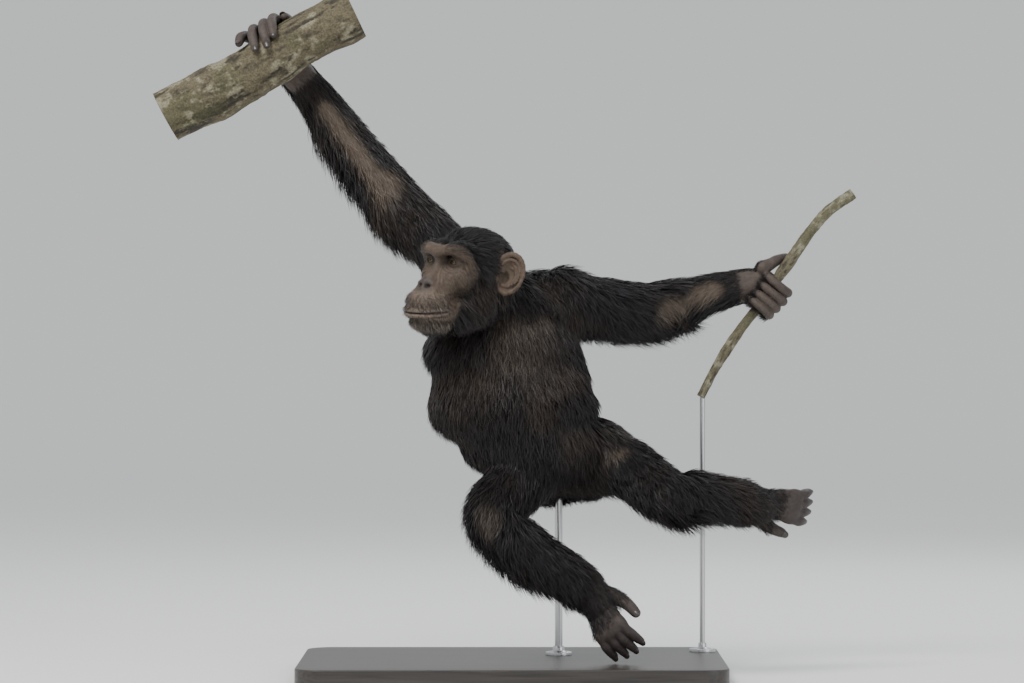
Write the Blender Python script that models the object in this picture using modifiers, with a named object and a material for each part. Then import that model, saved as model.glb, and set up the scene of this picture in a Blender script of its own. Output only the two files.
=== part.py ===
"""A life-size young chimpanzee swinging between a thick branch and a thin stem, on a display stand.

Metres, +Z up, +X to the viewer's right, and the chest faces -Y. The origin is the middle of the
underside of the stand's base. "Right" and "left" in names are the animal's own sides.
"""

import math
import random

import bmesh
import bpy
from mathutils import Matrix, Vector
from mathutils.bvhtree import BVHTree

# Driving dimensions
GAP = 0.0003  # between touching pieces
BODY_VOXEL = 0.007
HEAD_VOXEL = 0.0025
CORE_DEPTH = 0.009  # how far the body's core lies inside the outline of the coat
LOCK_SEED = 11
LOCK_SPACING = 0.066
LOCK_THICKNESS = 0.0055
HAND_VOXEL = 0.002
BODY_FACES = 1900
HEAD_FACES = 1400
HEAD_LOCK_SPACING = 0.034
HAND_FACES = 860
FOOT_FACES = 760
EAR_FACES = 240

BASE_SIZE = (0.76, 0.52, 0.030)
BASE_CORNER = 0.05
BODY_ROD_RADIUS = 0.007
BODY_ROD_TOP = (0.085, 0.075, 0.325)
STEM_ROD_RADIUS = 0.005
FLANGE_RADIUS = 0.024
FLANGE_HEIGHT = 0.008

HEAD_ORIGIN = Vector((-0.125, -0.130, 0.742))  # midway between the pupils
HEAD_YAW = math.radians(42)  # the face turns to the animal's right
HEAD_ROLL = math.radians(-6)  # the crown leans to its left
EYE_RADIUS = 0.0108
EYE_SPREAD = 0.0275  # from the midline to each pupil
EYE_DEPTH = 0.0115
EAR_HEIGHT = 0.076
EAR_WIDTH = 0.056

BRANCH_RADIUS = 0.0475
STEM_RADIUS = 0.0092
FINGER_RADIUS = 0.0088

# Each limb is a row of (x, y, z, radius) along its bones, out to the surface of the coat.
RIGHT_ARM = [
    (-0.088, 0.044, 0.725, 0.060),
    (-0.152, 0.060, 0.798, 0.056),
    (-0.202, 0.068, 0.846, 0.056),
    (-0.242, 0.075, 0.899, 0.051),
    (-0.308, 0.085, 0.985, 0.045),
    (-0.348, 0.090, 1.038, 0.035),
    (-0.383, 0.088, 1.077, 0.028),
    (-0.398, 0.086, 1.096, 0.026),
]
LEFT_ARM = [
    (0.080, 0.045, 0.679, 0.062),
    (0.160, 0.080, 0.666, 0.060),
    (0.234, 0.115, 0.663, 0.054),
    (0.277, 0.130, 0.671, 0.050),
    (0.331, 0.145, 0.682, 0.043),
    (0.370, 0.155, 0.693, 0.035),
    (0.422, 0.165, 0.702, 0.028),
    (0.445, 0.167, 0.706, 0.026),
]
RIGHT_LEG = [
    (0.051, 0.020, 0.404, 0.074),
    (-0.004, -0.060, 0.339, 0.064),
    (-0.032, -0.125, 0.297, 0.051),
    (0.027, -0.120, 0.233, 0.053),
    (0.097, -0.115, 0.190, 0.044),
    (0.135, -0.110, 0.160, 0.031),
    (0.148, -0.112, 0.142, 0.028),
]
LEFT_LEG = [
    (0.141, 0.040, 0.400, 0.070),
    (0.208, -0.020, 0.377, 0.057),
    (0.275, -0.090, 0.334, 0.050),
    (0.321, -0.065, 0.328, 0.049),
    (0.397, -0.020, 0.319, 0.038),
    (0.432, 0.000, 0.309, 0.030),
    (0.448, 0.006, 0.304, 0.028),
]


def clear_scene():
    for obj in list(bpy.data.objects):
        bpy.data.objects.remove(obj)
    for old in list(bpy.data.collections):
        bpy.data.collections.remove(old)


def collection(name):
    made = bpy.data.collections.new(name)
    bpy.context.scene.collection.children.link(made)
    return made


def gather_parts(name):
    """Moves every finished object into one collection and shades the round ones smooth."""
    parts = collection(name)
    for obj in list(bpy.context.scene.collection.objects):
        bpy.context.scene.collection.objects.unlink(obj)
        parts.objects.link(obj)
        round_form = obj.name != "stand_base"
        obj.data.polygons.foreach_set("use_smooth", [round_form] * len(obj.data.polygons))


def material(name, colour, roughness, metallic=0.0):
    made = bpy.data.materials.new(name)
    made.use_nodes = True
    shader = made.node_tree.nodes["Principled BSDF"]
    shader.inputs["Base Color"].default_value = (*colour, 1.0)
    shader.inputs["Roughness"].default_value = roughness
    shader.inputs["Metallic"].default_value = metallic
    return made


def object_of(name, bm):
    """A new mesh object that holds bm, with its faces turned outwards."""
    bmesh.ops.recalc_face_normals(bm, faces=bm.faces)
    mesh = bpy.data.meshes.new(name)
    bm.to_mesh(mesh)
    bm.free()
    made = bpy.data.objects.new(name, mesh)
    bpy.context.scene.collection.objects.link(made)
    return made


def baked(obj):
    """Replaces the object's mesh by its evaluated one and drops its modifiers."""
    bpy.context.view_layer.update()
    graph = bpy.context.evaluated_depsgraph_get()
    mesh = bpy.data.meshes.new_from_object(obj.evaluated_get(graph))
    obj.modifiers.clear()
    obj.data = mesh
    return obj


# Blocks: each is a closed bmesh, the hull round one or two ellipsoids.


def ellipsoid_points(centre, radii, axes, detail):
    bm = bmesh.new()
    bmesh.ops.create_icosphere(bm, subdivisions=detail, radius=1.0)
    points = [Vector(centre) + axes @ Vector(v.co * Vector(radii)) for v in bm.verts]
    bm.free()
    return points


def hull(points):
    bm = bmesh.new()
    for point in points:
        bm.verts.new(point)
    made = bmesh.ops.convex_hull(bm, input=bm.verts)
    spare = set(made["geom_interior"] + made["geom_unused"])
    loose = [vert for vert in bm.verts if vert in spare]
    bmesh.ops.delete(bm, geom=loose, context="VERTS")
    return bm


def mass(centre, radii, axes=Matrix.Identity(3), detail=3):
    return hull(ellipsoid_points(centre, radii, axes, detail))


def bridge(first, second, axes=Matrix.Identity(3), detail=2):
    """One block from the ellipsoid first to the ellipsoid second, each (centre, radii)."""
    return hull(
        ellipsoid_points(*first, axes, detail) + ellipsoid_points(*second, axes, detail)
    )


def limb(stations, detail=2, inset=0.0):
    """Round blocks from each station (x, y, z, radius) to the next."""
    ends = [(s[:3], (s[3] - inset,) * 3) for s in stations]
    return [bridge(a, b, detail=detail) for a, b in zip(ends, ends[1:])]


def blended(name, blocks, voxel, rounds, faces):
    """One smooth closed skin round all the blocks, with about that many faces."""
    bm = bmesh.new()
    for block in blocks:
        mesh = bpy.data.meshes.new("block")
        block.to_mesh(mesh)
        block.free()
        bm.from_mesh(mesh)
        bpy.data.meshes.remove(mesh)
    obj = object_of(name, bm)
    remesh = obj.modifiers.new("remesh", "REMESH")
    remesh.mode = "VOXEL"
    remesh.voxel_size = voxel
    smooth = obj.modifiers.new("smooth", "SMOOTH")
    smooth.factor = 0.5
    smooth.iterations = rounds
    baked(obj)
    decimate = obj.modifiers.new("decimate", "DECIMATE")
    decimate.ratio = faces / (2 * len(obj.data.polygons))
    return baked(obj)


def boolean(obj, operation, others, solver="EXACT"):
    """Joins others to obj, or cuts them from it, and removes them."""
    tools = collection("cutters")
    for other in others:
        tools.objects.link(other)
    modifier = obj.modifiers.new("boolean", "BOOLEAN")
    modifier.operation = operation
    modifier.operand_type = "COLLECTION"
    modifier.collection = tools
    modifier.solver = solver
    baked(obj)
    for other in list(tools.objects):
        bpy.data.objects.remove(other)
    bpy.data.collections.remove(tools)
    return obj


def swollen(obj, by):
    """A copy of obj, larger all round by that distance."""
    bm = bmesh.new()
    bm.from_mesh(obj.data)
    bmesh.ops.triangulate(bm, faces=bm.faces)
    bm.normal_update()
    shifts = [v.normal * by for v in bm.verts]
    for vert, shift in zip(bm.verts, shifts):
        vert.co += shift
    return object_of("swollen", bm)


def clear_of(obj, *others, gap=1.5 * GAP):
    """Cuts obj clear of the others by the gap."""
    boolean(obj, "DIFFERENCE", [swollen(other, gap) for other in others], solver="MANIFOLD")
    return largest_piece(obj)


def pieces_of(bm):
    """The separate bodies of a bmesh, as lists of faces."""
    left = set(bm.faces)
    found = []
    while left:
        front = [left.pop()]
        piece = list(front)
        while front:
            near = {f for face in front for edge in face.edges for f in edge.link_faces}
            front = list(near & left)
            left -= near
            piece += front
        found.append(piece)
    return found


def triangulate(bm):
    """Splits every face into triangles, and drops each pair that folds flat on itself."""
    bmesh.ops.triangulate(bm, faces=bm.faces)
    bm.verts.index_update()
    seen = {}
    folds = []
    for face in bm.faces:
        key = frozenset(v.index for v in face.verts)
        if key in seen:
            folds += [face, seen[key]]
        seen[key] = face
    bmesh.ops.delete(bm, geom=folds, context="FACES")


def largest_piece(obj):
    """Drops whatever a cut left loose."""
    bm = bmesh.new()
    bm.from_mesh(obj.data)
    found = sorted(pieces_of(bm), key=len, reverse=True)
    for scrap in found[1:]:
        bmesh.ops.delete(bm, geom=scrap, context="FACES")
    bm.to_mesh(obj.data)
    bm.free()
    return obj


def part_at(bm, centre, normal, radius):
    """Cuts a closed bmesh across, within radius of centre, and closes both sides of the thin gap."""
    centre, normal = Vector(centre), Vector(normal).normalized()
    near = [f for f in bm.faces if any((v.co - centre).length < radius for v in f.verts)]
    geom = {item for f in near for item in (f, *f.edges, *f.verts)}
    ordered = [item for kind in (bm.verts, bm.edges, bm.faces) for item in kind if item in geom]
    done = bmesh.ops.bisect_plane(bm, geom=ordered, plane_co=centre, plane_no=normal, dist=2e-5)
    cut = [item for item in done["geom_cut"] if isinstance(item, bmesh.types.BMEdge)]
    ends = list({v for e in cut for v in e.verts})
    bmesh.ops.remove_doubles(bm, verts=ends, dist=5e-5)
    cut = [e for e in bm.edges if all(abs((v.co - centre).dot(normal)) < 1e-6 for v in e.verts)]
    cut = [e for e in cut if (e.verts[0].co - centre).length < radius * 1.8]
    bmesh.ops.split_edges(bm, edges=cut)
    rims = [e for e in bm.edges if e.is_boundary]
    shifts = {}
    for edge in rims:
        side = 1 if (edge.link_faces[0].calc_center_median() - centre).dot(normal) > 0 else -1
        for vert in edge.verts:
            shifts[vert] = normal * (side * GAP / 2)
    bmesh.ops.holes_fill(bm, edges=rims)
    for vert, shift in shifts.items():
        vert.co += shift


def keep_side(obj, point, normal):
    """Keeps what lies on normal's side of the plane, and closes the cut."""
    bm = bmesh.new()
    bm.from_mesh(obj.data)
    bmesh.ops.bisect_plane(
        bm, geom=bm.verts[:] + bm.edges[:] + bm.faces[:], plane_co=point, plane_no=normal, clear_inner=True
    )
    bmesh.ops.holes_fill(bm, edges=[e for e in bm.edges if e.is_boundary])
    triangulate(bm)
    bm.to_mesh(obj.data)
    bm.free()
    return largest_piece(obj)


def end_of(stations):
    """The wrist or ankle of a limb, and the way the limb points there."""
    point = Vector(stations[-2][:3])
    return point, (point - Vector(stations[-3][:3])).normalized()


# The trunk and the limbs

TORSO_TURN = Matrix.Rotation(math.radians(8), 3, "Z")
SHOULDERS = ((-0.010, 0.030, 0.655), (0.125, 0.095, 0.062))
CHEST = ((-0.014, 0.018, 0.590), (0.136, 0.112, 0.085))
BELLY = ((0.004, 0.002, 0.496), (0.150, 0.122, 0.085))
LOINS = ((0.041, 0.010, 0.425), (0.133, 0.110, 0.065))
PELVIS = ((0.088, 0.045, 0.392), (0.100, 0.088, 0.058))
RUMP = (((0.062, 0.085, 0.372), (0.068,) * 3), ((0.135, 0.090, 0.382), (0.066,) * 3))
NECK = (((-0.012, 0.010, 0.672), (0.078, 0.070, 0.060)), ((-0.048, -0.045, 0.700), (0.060, 0.060, 0.062)))


def inside(block, depth):
    """The same ellipsoid, smaller all round by depth."""
    centre, radii = block
    return centre, tuple(r - depth for r in radii)


def trunk_blocks():
    rows = [inside(block, CORE_DEPTH) for block in (SHOULDERS, CHEST, BELLY, LOINS, PELVIS)]
    blocks = [bridge(a, b, TORSO_TURN, detail=3) for a, b in zip(rows, rows[1:])]
    blocks.append(bridge(*[inside(block, CORE_DEPTH) for block in RUMP]))
    blocks.append(bridge(inside(RIGHT_ARM_ROOT, CORE_DEPTH), rows[0], TORSO_TURN))
    blocks.append(bridge(inside(LEFT_ARM_ROOT, CORE_DEPTH), rows[0], TORSO_TURN))
    for stations in (RIGHT_ARM, LEFT_ARM, RIGHT_LEG, LEFT_LEG):
        tapered = [(*s[:3], s[3] - CORE_DEPTH * min(1.0, max(0.0, (s[3] - 0.026) / 0.014))) for s in stations]
        blocks += limb(tapered)
    return blocks


RIGHT_ARM_ROOT = (RIGHT_ARM[0][:3], (0.056, 0.056, 0.056))
LEFT_ARM_ROOT = (LEFT_ARM[0][:3], (0.058, 0.058, 0.058))

# The thin cuts that part the body at the waist, the groin and the joints: centre, normal, radius.
CUTS = [
    ((-0.005, 0.000, 0.532), (0.20, 0.00, -0.98), 0.190),
    ((0.047, 0.000, 0.437), (0.38, 0.02, -0.92), 0.165),
    ((-0.137, 0.056, 0.780), (-0.65, 0.16, 0.74), 0.085),
    ((-0.238, 0.074, 0.894), (-0.59, 0.22, 0.78), 0.085),
    ((0.136, 0.069, 0.670), (0.91, 0.40, -0.15), 0.100),
    ((0.256, 0.123, 0.667), (0.93, 0.32, 0.17), 0.085),
    ((-0.004, -0.060, 0.339), (-0.34, -0.79, -0.51), 0.110),
    ((0.195, -0.008, 0.382), (0.72, -0.65, -0.25), 0.090),
    ((-0.032, -0.125, 0.297), (0.23, -0.49, -0.84), 0.090),
    ((0.268, -0.083, 0.338), (0.94, -0.12, -0.32), 0.080),
]

# A point inside each length of the body, by which the cut pieces are told apart.
SEEDS = {
    "chest": (-0.010, 0.020, 0.610),
    "belly": (0.020, 0.005, 0.480),
    "pelvis": (0.085, 0.045, 0.390),
    "upper_arm_right": RIGHT_ARM[2][:3],
    "forearm_right": RIGHT_ARM[4][:3],
    "upper_arm_left": LEFT_ARM[1][:3],
    "forearm_left": LEFT_ARM[4][:3],
    "thigh_right": RIGHT_LEG[1][:3],
    "shin_right": RIGHT_LEG[3][:3],
    "thigh_left": LEFT_LEG[1][:3],
    "shin_left": LEFT_LEG[3][:3],
}


LIMB_ENDS = {
    "forearm_right": RIGHT_ARM,
    "forearm_left": LEFT_ARM,
    "shin_right": RIGHT_LEG,
    "shin_left": LEFT_LEG,
}


def parted(body, coat):
    """Cuts the body into its named lengths."""
    bm = bmesh.new()
    bm.from_mesh(body.data)
    for cut in CUTS:
        part_at(bm, *cut)
    triangulate(bm)
    found = []
    for piece in pieces_of(bm):
        verts = {v for face in piece for v in face.verts}
        centre = sum((v.co for v in verts), Vector()) / len(verts)
        found.append((centre, piece))
    nodes = {}
    for name, seed in SEEDS.items():
        near = [f for f in found if len(f[1]) > 40]
        centre, piece = min(near, key=lambda f: (f[0] - Vector(seed)).length)
        part = bmesh.new()
        copies = {}
        for face in piece:
            for vert in face.verts:
                if vert not in copies:
                    copies[vert] = part.verts.new(vert.co)
            part.faces.new([copies[v] for v in face.verts])
        nodes[name] = object_of(name, part)
        nodes[name].data.materials.append(coat)
    bm.free()
    bpy.data.objects.remove(body)
    for name, stations in LIMB_ENDS.items():
        point, direction = end_of(stations)
        keep_side(nodes[name], point, -direction)
    return nodes


# The coat: flat tapered locks in rows, set on a core and fused with it.

# Which way the hair lies on each stretch: name, (from, to) of the stretch, the lie, and the lock's
# length, half width and lift.
def along(stations, first, last):
    return Vector(stations[first][:3]), Vector(stations[last][:3])


def stretches():
    up_right = along(RIGHT_ARM, 3, 6)
    up_left = along(LEFT_ARM, 3, 6)
    fall = Vector((0, 0, -1))

    def lie(pair, share=0.0):
        a, b = pair
        return ((b - a).normalized() * (1 - share) + fall * share).normalized()

    def back(pair):
        return pair[1], pair[0]

    return [
        (up_right, lie(back(up_right), 0.15), 0.100, 0.023, 0.010),
        (along(RIGHT_ARM, 0, 3), lie(back(along(RIGHT_ARM, 0, 3)), 0.3), 0.095, 0.026, 0.010),
        (up_left, lie(back(up_left), 0.45), 0.090, 0.022, 0.010),
        (along(LEFT_ARM, 0, 3), lie(along(LEFT_ARM, 0, 3), 0.55), 0.095, 0.026, 0.010),
        ((Vector((-0.01, 0.03, 0.69)), Vector((0.00, 0.00, 0.50))), Vector((0.05, 0.05, -1)), 0.105, 0.034, 0.010),
        ((Vector((0.00, 0.00, 0.50)), Vector((0.09, 0.05, 0.38))), Vector((0.2, 0.1, -1)), 0.100, 0.033, 0.010),
        (along(RIGHT_LEG, 0, 2), lie(along(RIGHT_LEG, 0, 2), 0.3), 0.095, 0.029, 0.010),
        (along(RIGHT_LEG, 2, 5), lie(along(RIGHT_LEG, 2, 5), 0.2), 0.095, 0.024, 0.010),
        (along(LEFT_LEG, 0, 2), lie(along(LEFT_LEG, 0, 2), 0.4), 0.095, 0.029, 0.010),
        (along(LEFT_LEG, 2, 5), lie(along(LEFT_LEG, 2, 5), 0.3), 0.090, 0.023, 0.010),
    ]


def nearest_stretch(point, rows):
    best = None
    for row in rows:
        (a, b) = row[0]
        t = max(0.0, min(1.0, (point - a).dot(b - a) / (b - a).length_squared))
        gap = (point - a.lerp(b, t)).length
        if best is None or gap < best[0]:
            best = (gap, row)
    return best[1]


def spread_points(bm, spacing, draw):
    """Points over the surface, no two nearer than about spacing, each with its normal."""
    faces = [f for f in bm.faces]
    draw.shuffle(faces)
    kept = []
    for face in faces:
        point = face.calc_center_median()
        if all((point - other).length > spacing for other, _ in kept):
            kept.append((point, face.normal.copy()))
    return kept


def trim_lock(bm, root, centre, normal, radius):
    """Stops a lock short of a joint's cut, so that it doesn't bridge it."""
    if (root - centre).length > radius * 1.7:
        return
    if (root - centre).dot(normal) < 0:
        normal = -normal
    edge = centre + normal * 2 * GAP
    geom = bm.verts[:] + bm.edges[:] + bm.faces[:]
    bmesh.ops.bisect_plane(bm, geom=geom, plane_co=edge, plane_no=normal, clear_inner=True)
    bmesh.ops.holes_fill(bm, edges=[e for e in bm.edges if e.is_boundary])


def lock(tree, root, normal, lie, length, half_width, lift):
    """One flat lock: it leaves the core at its root, lies along it, and tapers to a lifted tip.

    None comes back where the core folds too sharply for it to lie flat.
    """
    across = normal.cross(lie).normalized()
    heading = across.cross(normal).normalized()
    middles, rings = [], []
    for share, wide, thick, high in (
        (0.0, 0.80, 1.0, -0.45),
        (0.30, 1.00, 0.95, 0.25),
        (0.66, 0.72, 0.75, 0.85),
        (1.0, 0.0, 0.0, 1.1),
    ):
        near, out, _, _ = tree.find_nearest(root + heading * (length * share))
        middle = near + out * (lift * high)
        if middles and (middle - middles[-1]).dot(heading) < 0.17 * length or out.dot(normal) < -0.2:
            return None
        middles.append(middle)
        side = out.cross(heading).normalized() * half_width * wide
        rings.append([middle - side, middle + out * LOCK_THICKNESS * thick, middle + side])
    bm = bmesh.new()
    loops = [[bm.verts.new(p) for p in ring] for ring in rings[:-1]]
    for a, b in zip(loops, loops[1:]):
        for i in range(3):
            j = (i + 1) % 3
            bm.faces.new((a[i], a[j], b[j]))
            bm.faces.new((a[i], b[j], b[i]))
    end = bm.verts.new(middles[-1])
    for i in range(3):
        bm.faces.new((loops[-1][i], loops[-1][(i + 1) % 3], end))
    bm.faces.new(loops[0][::-1])
    for centre, normal, radius in CUTS:
        trim_lock(bm, root, Vector(centre), Vector(normal).normalized(), radius)
    return object_of("lock", bm)


def coated(core, spacing, rows, bare):
    """Fuses overlapping locks with the core, all over it but where bare says no."""
    draw = random.Random(LOCK_SEED)
    bm = bmesh.new()
    bm.from_mesh(core.data)
    bm.normal_update()
    tree = BVHTree.FromBMesh(bm)
    locks = []
    for point, normal in spread_points(bm, spacing, draw):
        if any(abs((point - Vector(c)).dot(Vector(n).normalized())) < 0.006 for c, n, _ in CUTS):
            continue
        _, lie, length, half_width, lift = nearest_stretch(point, rows)
        if bare(point, normal) or abs(normal.dot(lie)) > 0.97:
            continue
        size = draw.uniform(0.85, 1.15)
        turn = Matrix.Rotation(draw.uniform(-0.25, 0.25), 3, normal)
        made = lock(tree, point, normal, turn @ lie, length * size, half_width * size, lift)
        if made:
            locks.append(made)
    bm.free()
    boolean(core, "UNION", locks, solver="MANIFOLD")
    return largest_piece(core)


def bare_body(point, normal):
    """Where the body carries no locks: at the wrists, the ankles, under the head and round the rods."""
    ends = [end_of(s)[0] for s in (RIGHT_ARM, LEFT_ARM, RIGHT_LEG, LEFT_LEG)]
    if any((point - end).length < 0.045 for end in ends):
        return True
    if (point - in_head(-6, 0, -1)).length < 0.115:
        return True
    return (point.xy - Vector(BODY_ROD_TOP[:2])).length < 0.03 and point.z < 0.36


# The head, in its own frame: forward, to its left, up, in centimetres from between the pupils.


def head_axes():
    forward = Vector((-math.sin(HEAD_YAW), -math.cos(HEAD_YAW), 0.0))
    left = Vector((math.cos(HEAD_YAW), -math.sin(HEAD_YAW), 0.0))
    up = Vector((0.0, 0.0, 1.0))
    tilt = Matrix.Rotation(HEAD_ROLL, 3, forward)
    return Matrix((forward, tilt @ left, tilt @ up)).transposed()


HEAD_AXES = head_axes()


def in_head(forward, left, up):
    return HEAD_ORIGIN + HEAD_AXES @ (Vector((forward, left, up)) * 0.01)


def head_mass(centre, radii):
    return mass(in_head(*centre), [r * 0.01 for r in radii], HEAD_AXES)


def head_bridge(first, second):
    ends = [(in_head(*centre), [r * 0.01 for r in radii]) for centre, radii in (first, second)]
    return bridge(*ends, HEAD_AXES, detail=3)


def head_tube(points, radius):
    return limb([(*in_head(*p), radius * 0.01) for p in points])


def sided(points, side):
    return [(f, left * side, u) for f, left, u in points]


def lip_line(height, grow=0.0):
    """The bow of the mouth round the muzzle, at that height."""
    points = []
    for step in range(-6, 7):
        angle = math.radians(13.0 * step)
        points.append(
            (0.8 + (5.9 + grow) * math.cos(angle), (4.2 + grow) * math.sin(angle), height)
        )
    return points


def head_blocks():
    blocks = [
        head_mass((-8.2, 0, 0.9), (7.6, 6.5, 5.4)),
        head_mass((-11.5, 0, -3.2), (4.2, 5.6, 5.0)),
        head_bridge(((-2.6, 0, -1.4), (3.0, 4.6, 2.9)), ((2.2, 0, -6.2), (2.9, 3.3, 2.6))),
        head_mass((2.7, 0, -7.3), (4.1, 3.9, 2.7)),
        head_mass((2.1, 0, -10.3), (3.8, 3.6, 2.5)),
        head_mass((3.4, 0, -4.0), (1.3, 1.9, 1.0)),
    ]
    blocks += head_tube([(0.2, 0, 0.2), (1.4, 0, -1.6), (3.4, 0, -3.4)], 1.0)
    blocks += head_tube(lip_line(-8.75), 0.42)
    blocks += head_tube(lip_line(-9.6, -0.15), 0.42)
    for side in (1, -1):
        blocks += head_tube(
            sided([(-2.6, 5.3, -0.4), (-1.6, 5.0, 1.2), (-0.3, 3.9, 2.0), (0.5, 2.4, 2.2), (0.55, 0, 1.8)], side),
            1.0,
        )
        blocks.append(head_bridge(((1.2, 2.0 * side, -9.8), (2.2, 2.0, 2.2)), ((-6.5, 4.0 * side, -6.8), (3.0, 2.5, 3.4))))
        blocks.append(head_mass((-2.4, 3.7 * side, -2.6), (2.7, 2.2, 2.5)))
        blocks.append(head_mass((-6.6, 4.2 * side, -4.0), (4.2, 2.7, 5.4)))
        blocks.append(head_mass((-1.3, EYE_SPREAD * 100 * side, 0.0), (1.45, 1.4, 1.3)))
    return blocks


def eyeball(name, side, radius):
    bm = bmesh.new()
    bmesh.ops.create_uvsphere(bm, u_segments=10, v_segments=7, radius=radius)
    bm.transform(Matrix.Translation(in_head(-EYE_DEPTH * 100, EYE_SPREAD * 100 * side, 0.0)))
    return object_of(name, bm)


def face_cutters():
    """The openings between the lids, the eye sockets, the nostrils and the line of the mouth."""
    cutters = []
    for side in (1, -1):
        opening = ellipsoid_points(
            in_head(0.35, EYE_SPREAD * 100 * side, 0.03), (0.0095, 0.0118, 0.0076), HEAD_AXES, 2
        )
        cutters.append(object_of("opening", hull(opening)))
        cutters.append(eyeball("socket", side, EYE_RADIUS + GAP))
        nostril = mass(in_head(4.5, 0.8 * side, -4.5), (0.0060, 0.0042, 0.0034), HEAD_AXES, 2)
        cutters.append(object_of("nostril", nostril))
    outer = lip_line(-9.18, 0.9)
    inner = lip_line(-9.18, -0.25)
    bm = bmesh.new()
    rows = []
    for points in (outer, inner):
        for lift in (0.07, -0.07):
            rows.append([bm.verts.new(in_head(f, left, u + lift)) for f, left, u in points])
    ring = [rows[0], rows[1], rows[3], rows[2]]
    for a, b in zip(ring, ring[1:] + ring[:1]):
        for i in range(len(a) - 1):
            bm.faces.new((a[i], a[i + 1], b[i + 1], b[i]))
    bm.faces.new([row[0] for row in ring])
    bm.faces.new([row[-1] for row in reversed(ring)])
    cutters.append(object_of("mouth", bm))
    return cutters


def head_stretches():
    """How the hair lies on the head: back over the crown, and back and down over the cheeks."""
    rows = [((in_head(-3, 0, 5), in_head(-14, 0, 1)), HEAD_AXES @ Vector((-1.0, 0.0, -0.25)), 0.055, 0.017, 0.004)]
    for side in (1, -1):
        cheek = (in_head(-4, 6 * side, -3), in_head(-7, 5 * side, -9))
        rows.append((cheek, HEAD_AXES @ Vector((-0.55, 0.25 * side, -0.80)), 0.055, 0.0150, 0.008))
    return rows


def bare_head(point, normal):
    """The face, the ears' roots and what faces the neck carry no locks."""
    forward, left, up = (HEAD_AXES.transposed() @ (point - HEAD_ORIGIN)) * 100
    if forward > -3.4 - 0.25 * max(0.0, up):
        return True
    if Vector((forward + 9.5, up + 1.4)).length < 3.6 and abs(left) > 4.5:
        return True
    return up < -8.5 or (forward < -9.5 and up < -3.5)


def make_head(skin):
    head = blended("head", head_blocks(), HEAD_VOXEL, 8, HEAD_FACES)
    boolean(head, "DIFFERENCE", face_cutters())
    coated(head, HEAD_LOCK_SPACING, head_stretches(), bare_head)
    head.data.materials.append(skin)
    return head


def make_ear(name, side, around, skin):
    """A cupped plate with a rolled rim, its face turned forward and outward."""
    middle = in_head(-9.7, 7.5 * side, -1.4)
    out = HEAD_AXES @ Vector((-0.66, 0.75 * side, 0.0))
    up = (HEAD_AXES @ Vector((-0.10, 0.06 * side, 0.99))).normalized()
    face = out.cross(up) * side
    axes = Matrix((out, up, -face)).transposed()
    half_w, half_h = EAR_WIDTH / 2, EAR_HEIGHT / 2

    def place(across, along, lift):
        return middle + axes @ Vector((across * half_w, along * half_h, lift))

    blocks = [mass(place(0, 0, 0), (half_w, half_h, 0.0065), axes)]
    rim = []
    for step in range(13):
        angle = math.radians(-100 + 20.5 * step)
        rim.append((*place(math.cos(angle) * 0.9, math.sin(angle) * 0.92, -0.004), 0.0042))
    blocks += limb(rim)
    blocks += limb([(*place(-0.75, 0.15, -0.002), 0.006), (*place(-0.62, -0.35, -0.003), 0.006)])
    blocks.append(bridge((place(-0.9, 0.1, 0.008), (0.010, 0.024, 0.008)), (place(0.1, 0.0, 0.004), (0.012, 0.020, 0.006)), axes))
    ear = blended(name, blocks, 0.0016, 2, EAR_FACES * 2)
    cup = mass(place(0.02, 0.18, -0.0125), (half_w * 0.68, half_h * 0.66, 0.0115), axes, 2)
    well = mass(place(-0.25, -0.15, -0.008), (half_w * 0.36, half_h * 0.34, 0.0105), axes, 2)
    boolean(ear, "DIFFERENCE", [object_of("cup", cup), object_of("well", well)])
    decimate = ear.modifiers.new("decimate", "DECIMATE")
    decimate.ratio = EAR_FACES / len(ear.data.polygons)
    baked(ear)
    clear_of(ear, *around)
    ear.data.materials.append(skin)
    return ear


# The perches, the hands that grip them, and the feet

BRANCH_AXIS = Vector((0.870, 0.0, 0.492)).normalized()
BRANCH_UP = Vector((-0.492, 0.0, 0.870)).normalized()
BRANCH_GRIP = Vector((-0.436, 0.020, 1.108))
BRANCH_REACH = (-0.215, 0.175)  # either way from the grip
AWAY = Vector((0.0, 1.0, 0.0))
STEM_LINE = [
    (0.627, 0.150, 0.872),
    (0.582, 0.150, 0.840),
    (0.546, 0.150, 0.799),
    (0.506, 0.150, 0.741),
    (0.487, 0.150, 0.715),
    (0.461, 0.150, 0.674),
    (0.428, 0.150, 0.633),
    (0.397, 0.150, 0.588),
    (0.370, 0.150, 0.543),
    (0.347, 0.150, 0.498),
]


def rod_along(name, stations, sides, finish):
    """A tube with a radius at each station, its ends cut square."""
    curve = bpy.data.curves.new(name, "CURVE")
    curve.dimensions = "3D"
    curve.bevel_depth = 1.0
    curve.bevel_resolution = (sides - 4) // 2
    curve.use_fill_caps = True
    spline = curve.splines.new("POLY")
    spline.points.add(len(stations) - 1)
    for point, (x, y, z, radius) in zip(spline.points, stations):
        point.co = (x, y, z, 1.0)
        point.radius = radius
    line = bpy.data.objects.new(name + "_line", curve)
    bpy.context.scene.collection.objects.link(line)
    bpy.context.view_layer.update()
    graph = bpy.context.evaluated_depsgraph_get()
    mesh = bpy.data.meshes.new_from_object(line.evaluated_get(graph))
    bpy.data.objects.remove(line)
    bm = bmesh.new()
    bm.from_mesh(mesh)
    bmesh.ops.remove_doubles(bm, verts=bm.verts, dist=1e-5)
    made = object_of(name, bm)
    made.data.materials.append(finish)
    return made


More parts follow.
